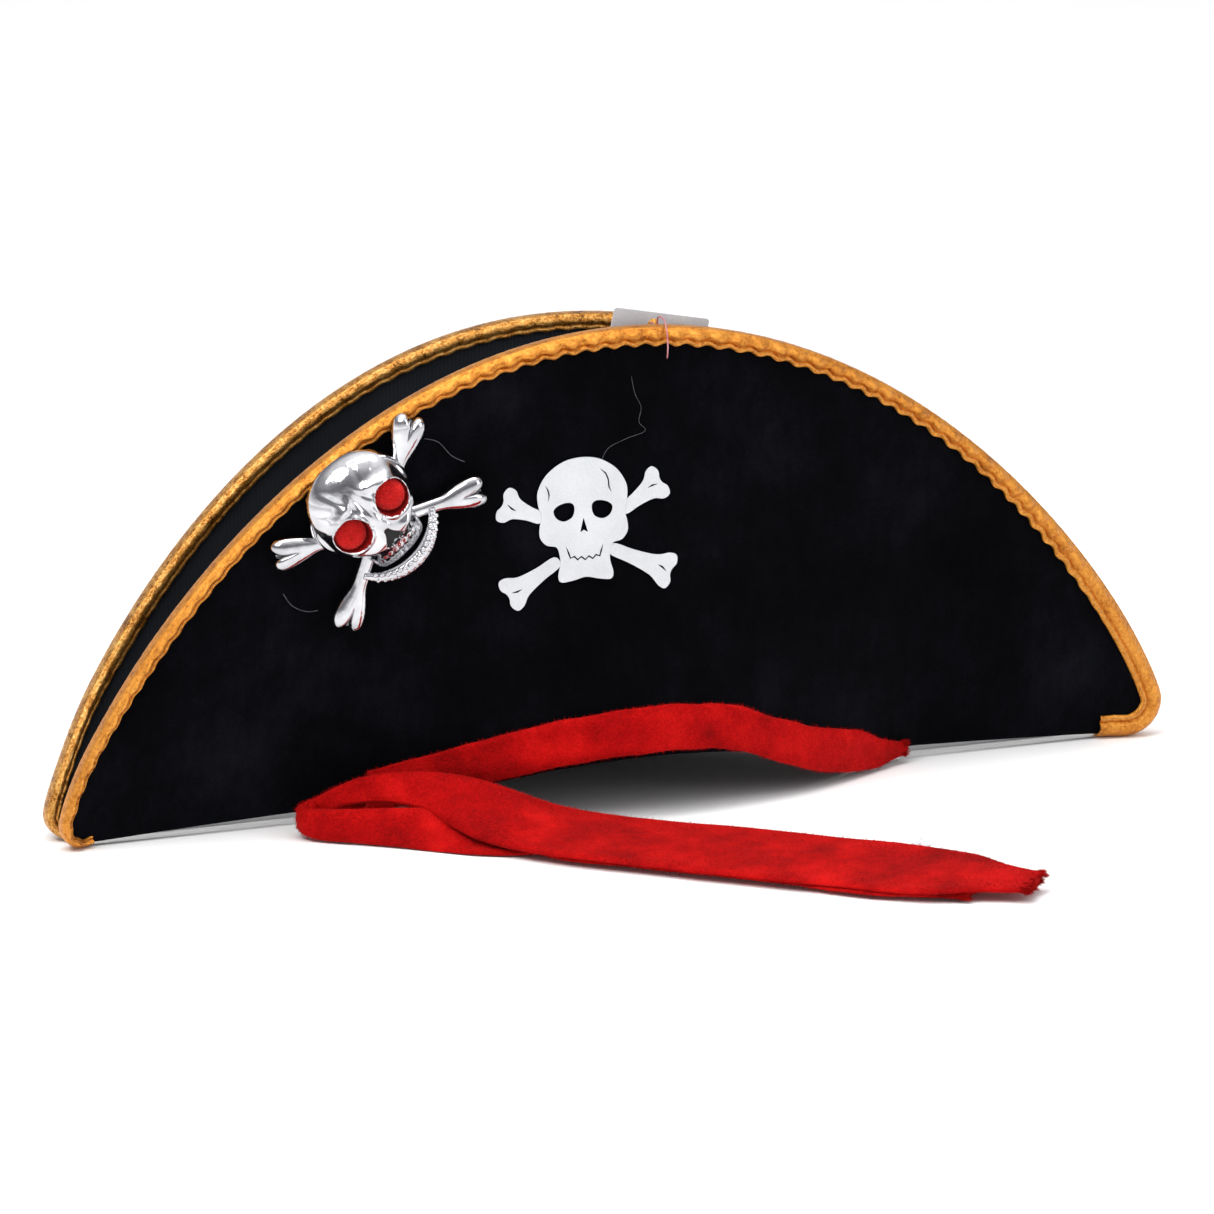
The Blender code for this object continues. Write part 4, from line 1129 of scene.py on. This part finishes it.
felt_finish = Finish("red_plush", Roughness=0.95, Specular_IOR_Level=0.1, Sheen_Weight=0.25,
                     Sheen_Roughness=0.5, Sheen_Tint=(1.0, 0.35, 0.30, 1.0))
plush = felt_finish.speckle(1600.0, 4.0, 0.7)
felt_finish.set(Base_Color=plush.colours((0.34, (0.42, 0.004, 0.006)), (0.66, (0.80, 0.022, 0.018))),
                Normal=felt_finish.bump(plush, 0.0006))
for word, hand in (("left", -1), ("right", 1)):
    shape = bmesh.new()
    rings = []
    plush_radius = eye_radius - 2 * gap
    for step in range(15):
        tilt = math.pi / 2 * step / 15
        rings.append([])
        for cos, sin in circle(44):
            radius = plush_radius * math.cos(tilt) ** 0.7
            side_way, up_way_2d = radius * cos, radius * sin
            rough = 0.00022 * lumps(side_way, up_way_2d, hand, 0.0011)
            rings[-1].append(badge.at(hand * eye_at[0] + side_way, eye_at[1] + up_way_2d,
                                      skull_base + 0.0052 + 0.0056 * math.sin(tilt) ** 0.5 + rough))
    skin(shape, rings)
    shape.normal_update()
    pile(shape, [(vert.co.copy(), vert.normal.copy()) for vert in shape.verts], 1100, 60 + hand,
         length=0.0008)
    eye_disc = add_piece(f"badge_plush_{word}", shape, felt_finish.material, sharp=80.0)
    settle(eye_disc, f"badge_eye_{word}")

# ---------------------------------------------------------------- the badge's jaw
# The lower jaw is a moulded bow below the open mouth, studded with small round teeth.

jaw_radius = 0.0228
shape = bmesh.new()
rings = []
for step in range(81):
    share = step / 80
    turn = math.radians(-148 + 116 * share)
    swell = math.sin(math.pi * share)
    half, tall = 0.0013 + 0.0021 * swell, 0.0028 + 0.0032 * swell
    ring = []
    for cos, sin in circle(16):
        a = half * cos
        h = tall * (0.5 + 0.5 * sin)
        notch = 0.00028 * math.sin(share * 190.0) * max(0.0, sin)
        ring.append(badge.at((jaw_radius + a) * math.cos(turn), 0.002 + (jaw_radius + a) * math.sin(turn),
                             skull_base + h + notch))
    rings.append(ring)
skin(shape, rings)
for k in range(15):
    turn = math.radians(-140 + 100 * (k + 0.5) / 15)
    for row, reach, size in ((0, -0.0012, 0.00115), (1, 0.0012, 0.00095)):
        swell = math.sin(math.pi * (math.degrees(turn) + 148) / 116)
        middle = badge.at((jaw_radius + reach) * math.cos(turn + row * 0.055),
                          0.002 + (jaw_radius + reach) * math.sin(turn + row * 0.055),
                          skull_base + (0.0028 + 0.0032 * swell) * 0.86)
        rings = []
        for level in range(6):
            tilt = -0.3 + (math.pi / 2 + 0.2) * level / 5
            radius = size * math.cos(tilt)
            rings.append([middle + badge.right * (radius * cos) + badge.up * (radius * sin)
                          + badge.out * (size * math.sin(tilt)) for cos, sin in circle(12)])
        skin(shape, rings)
jaw_bow = add_piece("badge_jaw_bow", shape, chrome_finish.material, sharp=70.0)
settle(jaw_bow, "badge_jaw")

# ---------------------------------------------------------------- the badge's threads
# The badge is tied on by hand with black thread; two loose ends curl on the velvet.
# A third, longer thread lies above the printed emblem, where the edge was sewn.

thread_radius = 0.0003
badge_z = top_at(FRONT, badge_at_x) - badge_below_edge
dark_thread = Finish("dark_thread", Roughness=0.6, Specular_IOR_Level=0.4, Sheen_Weight=0.1).mottled(
    (1500.0,), (0.3, (0.020, 0.021, 0.026)), (0.7, (0.075, 0.080, 0.095)), 0.0001)


def through(points, steps):
    """Places along a smooth open curve through points."""
    last = len(points) - 1
    return [smooth_through(points, last * step / (steps * last)) for step in range(steps * last + 1)]


def thread(name, points, radius, finish, sides=8):
    """A round thread along places, with rounded ends."""
    shape = bmesh.new()
    rings = []
    for i, point in enumerate(points):
        ahead = (points[min(len(points) - 1, i + 1)] - points[max(0, i - 1)]).normalized()
        aside = ahead.cross(Vector((0.0, -0.8, 0.6))).normalized()
        third = ahead.cross(aside)
        thick = 0.5 if i in (0, len(points) - 1) else 1.0
        rings.append([point + (aside * cos + third * sin) * radius * thick for cos, sin in circle(sides)])
    skin(shape, rings)
    return add_piece(name, shape, finish, sharp=80.0)


loose_routes = {
    "badge_thread_upper": ((0.0200, 0.0325), (0.0260, 0.0305), (0.0315, 0.0245), (0.0370, 0.0215)),
    "badge_thread_lower": ((-0.0385, -0.0275), (-0.0345, -0.0330), (-0.0285, -0.0360),
                           (-0.0235, -0.0360)),
}
for name, route in loose_routes.items():
    places = through([Vector((badge_at_x + a, badge_z + b, 0.0)) for a, b in route], 14)
    end = thread(f"{name}_end", [on_brim(FRONT, p.x, p.y, lame_in + thread_radius) for p in places],
                 thread_radius * 0.55, dark_thread)
    settle(end, name)

stray_route = ((-0.0020, 0.1790), (-0.0005, 0.1715), (0.0020, 0.1660), (0.0010, 0.1600),
               (0.0035, 0.1560), (-0.0050, 0.1535), (-0.0130, 0.1500), (-0.0165, 0.1430))
places = through([Vector((a, b, 0.0)) for a, b in stray_route], 12)
stray = thread("stray_edge_thread", [on_brim(FRONT, p.x, p.y, lame_in - 0.0001) for p in places],
               thread_radius * 0.38, dark_thread)
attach(stray, "hat")

# ---------------------------------------------------------------- the printed emblem
# A plain skull and four bone ends, cut from white heat-transfer film and pressed into the
# nap. Fine slits in the film show the velvet as the mouth, the cracks and the bones' marks.

print_at_x = -0.0245
print_below_edge = 0.0768
print_film = 0.00025
print_facet = 2.2
print_z = top_at(FRONT, print_at_x) - print_below_edge
film_finish = Finish("white_film", Roughness=0.5, Specular_IOR_Level=0.35)
film_fine = film_finish.speckle(1400.0, 3.0, 0.7)
film_cloud = film_finish.speckle(60.0, 3.0)
film_finish.set(
    Base_Color=(film_fine * 0.5 + film_cloud * 0.5).colours(
        (0.3, (0.52, 0.54, 0.56)), (0.7, (0.66, 0.68, 0.70))),
    Normal=film_finish.bump(film_fine, 0.00022))


def slit(points, width):
    """A thin tapered gap along a line, in millimetres, as an outline."""
    line = [Vector(point) for point in points]
    one, other = [], []
    for i, point in enumerate(line):
        ahead = (line[min(len(line) - 1, i + 1)] - line[max(0, i - 1)]).normalized()
        aside = Vector((-ahead.y, ahead.x)) * (width / 2 if 0 < i < len(line) - 1 else width / 8)
        one.append(point + aside)
        other.append(point - aside)
    return one + other[::-1]


def rounded(points, steps):
    """A smooth closed outline through points, in millimetres."""
    points = [Vector(point) for point in points]
    return [smooth_loop(points, len(points) * i / steps) for i in range(steps)]


def mirrored(half):
    return list(half) + [(-a, b) for a, b in reversed(half) if a > 0]


def plate(outlines, longest, depths, lay):
    """A thin plate with holes: flat outlines filled with small faces and laid at two depths."""
    flat = bmesh.new()
    edges = []
    for outline in outlines:
        corners = [flat.verts.new((*point, 0.0)) for point in outline]
        edges += [flat.edges.new((corner, corners[(i + 1) % len(corners)]))
                  for i, corner in enumerate(corners)]
    bmesh.ops.triangle_fill(flat, use_beauty=True, use_dissolve=False, edges=edges)
    for _ in range(4):
        long_edges = [edge for edge in flat.edges if edge.calc_length() > longest and not edge.is_boundary]
        if long_edges:
            bmesh.ops.subdivide_edges(flat, edges=long_edges, cuts=1)
            bmesh.ops.triangulate(flat, faces=[face for face in flat.faces if len(face.verts) > 3])
    flat.verts.index_update()
    shape = bmesh.new()
    levels = [[shape.verts.new(lay(vert.co.x, vert.co.y, depth)) for vert in flat.verts]
              for depth in depths]
    for face in flat.faces:
        corners = [vert.index for vert in face.verts]
        shape.faces.new([levels[0][i] for i in corners])
        shape.faces.new([levels[1][i] for i in reversed(corners)])
    for edge in flat.edges:
        if edge.is_boundary:
            i, j = (vert.index for vert in edge.verts)
            shape.faces.new((levels[0][i], levels[0][j], levels[1][j], levels[1][i]))
    flat.free()
    return shape


def on_print(a, b, depth):
    """A place on the velvet, in millimetres from the middle of the emblem."""
    return on_brim(FRONT, print_at_x + a / 1000, print_z + b / 1000, depth)


def pressed_film(name, outlines, turn=0.0, start=(0.0, 0.0), lift=0.0):
    """Film with holes, laid on the velvet: outlines in millimetres, turned about a start."""
    cos, sin = math.cos(turn), math.sin(turn)
    turned = [[(start[0] + p[0] * cos - p[1] * sin, start[1] + p[0] * sin + p[1] * cos)
               for p in outline] for outline in outlines]
    under = lame_in + gap + lift
    return add_piece(name, plate(turned, print_facet, (under, under + print_film), on_print),
                     film_finish.material)


print_half = ((0.0, 31.0), (8.0, 29.6), (15.0, 25.0), (18.9, 18.5), (18.9, 12.5), (17.6, 8.4), (18.6, 3.8),
              (18.6, -0.4), (16.0, -3.6), (12.0, -4.6), (10.8, -7.5), (10.5, -11.5), (11.6, -16.4),
              (10.4, -19.0), (5.2, -18.5), (0.0, -17.4))
eye_outline = ((-4.5, 0.9), (-2.0, 3.1), (2.3, 3.8), (4.4, 2.0), (3.6, -2.0), (0.0, -3.7), (-3.3, -2.3))
nose_outline = ((0.0, 6.6), (0.9, 3.4), (1.7, 0.5), (0.0, 1.5), (-1.7, 0.5), (-0.9, 3.4))
mouth_line = ((-7.8, -4.9), (-6.9, -7.4), (-6.2, -9.5), (-4.6, -8.9), (-3.2, -10.3), (-1.6, -9.2),
              (0.0, -10.5), (1.6, -9.2), (3.2, -10.3), (4.6, -8.9), (6.2, -9.5), (6.9, -7.4), (7.8, -4.9))
crack_lines = (((8.0, 25.6), (10.2, 23.6), (11.2, 21.0), (11.4, 18.0), (12.4, 15.8)),
               ((-15.6, 20.6), (-14.6, 18.6), (-14.2, 16.6), (-14.6, 14.2)))
middle = (0.0, -2.6)
skull_cuts = [rounded(mirrored(print_half), 128)]
for hand in (-1, 1):
    skull_cuts.append(rounded([(hand * (8.1 - a), 9.2 + b) for a, b in eye_outline], 30))
skull_cuts.append([Vector(point) for point in nose_outline])
skull_cuts.append(slit(mouth_line, 0.75))
skull_cuts += [slit(line, 0.65) for line in crack_lines]
printed = {"print_skull": pressed_film("printed_skull", skull_cuts, start=middle, lift=print_film + 0.00005)}

print_bones = {
    "print_bone_upper_left": ((-17.4, 4.8), (-31.0, 10.8)),
    "print_bone_upper_right": ((17.0, 5.4), (31.6, 14.4)),
    "print_bone_lower_left": ((-11.5, -13.0), (-30.0, -24.5)),
    "print_bone_lower_right": ((11.0, -9.4), (34.0, -20.2)),
}
for node, (root, end) in print_bones.items():
    along = Vector(end) - Vector(root)
    reach = along.length
    side_half = ((0.2, 2.2), (reach * 0.4, 2.9), (reach * 0.78, 4.3), (reach - 0.4, 6.9), (reach + 2.8, 7.0),
                 (reach + 4.0, 3.9), (reach + 2.9, 1.2))
    outline = list(side_half) + [(a, -b) for a, b in reversed(side_half)]
    mark = slit(((reach - 3.4, 0.8), (reach - 1.4, 0.5), (reach + 0.8, -0.4)), 0.85)
    turn = math.atan2(along.y, along.x)
    printed[node] = pressed_film(node.replace("print_", "printed_"), [rounded(outline, 56), mark], turn, root)
for node, piece in printed.items():
    settle(piece, node)

# ---------------------------------------------------------------- the hang tag
# A blank grey card hangs inside the brim on a looped plastic thread over the front edge.
# It was die-cut with a small round hole, and swings on the thread.

tag_width, tag_height, tag_board = 0.042, 0.075, 0.0006
tag_hole_radius = 0.0025
tag_hole_inset = 0.0050
tag_hole_drop = 0.0015
tag_at_x = 0.0125
tag_tilt = math.radians(-12.0)
tag_corner = 0.0012
tag_shift = 0.003
tag_facet = 0.008
tag_finish = Finish("grey_card", Roughness=0.6, Specular_IOR_Level=0.4, Coat_Weight=0.15, Coat_Roughness=0.3)
fibres = tag_finish.speckle(1300.0, 3.0, 0.7)
tag_cloud = tag_finish.speckle(80.0)
tag_finish.set(
    Base_Color=(fibres * 0.5 + tag_cloud * 0.5).colours((0.3, (0.40, 0.42, 0.45)), (0.7, (0.56, 0.58, 0.61))),
    Normal=tag_finish.bump(fibres, 0.00008))
rim = on_brim(FRONT, tag_at_x, top_at(FRONT, tag_at_x), 0.0)
hang_y = rim.y + lame_lining_side + 0.006
hole = Vector((tag_at_x, hang_y, rim.z - tag_hole_drop))


def on_tag(a, b, depth):
    """A place on the card, about its hole, with the slight curl of hanging card."""
    level, upright = math.cos(tag_tilt), math.sin(tag_tilt)
    curl = 0.0009 * (b / tag_height) ** 2
    return hole + Vector((a * level - b * upright, depth + curl, a * upright + b * level))


right, top, bottom = tag_width / 2, tag_hole_inset, tag_hole_inset - tag_height
card = []
for a_side, b_side, first in ((1, top, 0), (-1, top, 90), (-1, bottom, 180), (1, bottom, 270)):
    inner_b = b_side - tag_corner if b_side == top else b_side + tag_corner
    for step in range(5):
        turn = math.radians(first + 90 * step / 4)
        card.append((tag_shift + a_side * (right - tag_corner) + tag_corner * math.cos(turn),
                     inner_b + tag_corner * math.sin(turn)))
ring = [(tag_hole_radius * cos, tag_hole_radius * sin) for cos, sin in circle(32)]
shape = plate((card, ring), tag_facet, (0.0, tag_board), on_tag)
tag_card = add_piece("blank_hang_tag", shape, tag_finish.material)
settle(tag_card, "hang_tag", "tag")

pink_nylon = Finish("pink_nylon", Roughness=0.3, Specular_IOR_Level=0.5, Transmission_Weight=0.35).mottled(
    (200.0,), (0.3, (0.55, 0.16, 0.20)), (0.7, (0.75, 0.34, 0.38)))
front = on_brim(FRONT, tag_at_x, rim.z - 0.012, lame_out + 0.0022)
over = rim.z + lame_wrap + 0.0018
nylon_radius = 0.00034
fastener_route = [
    front,
    Vector((tag_at_x, front.y - 0.0006, rim.z - 0.006)),
    Vector((tag_at_x, rim.y - lame_out - 0.0006, over - 0.0012)),
    Vector((tag_at_x, rim.y, over + 0.0008)),
    Vector((tag_at_x, rim.y + lame_lining_side + 0.001, over - 0.0005)),
    Vector((tag_at_x, hang_y - 0.003, rim.z - 0.004)),
    Vector((tag_at_x, hang_y - 0.001, hole.z)),
    Vector((tag_at_x, hang_y + tag_board + 0.003, hole.z)),
]
fastener = thread("tag_fastener_loop", through(fastener_route, 8), nylon_radius, pink_nylon)
settle(fastener, "tag_fastener")
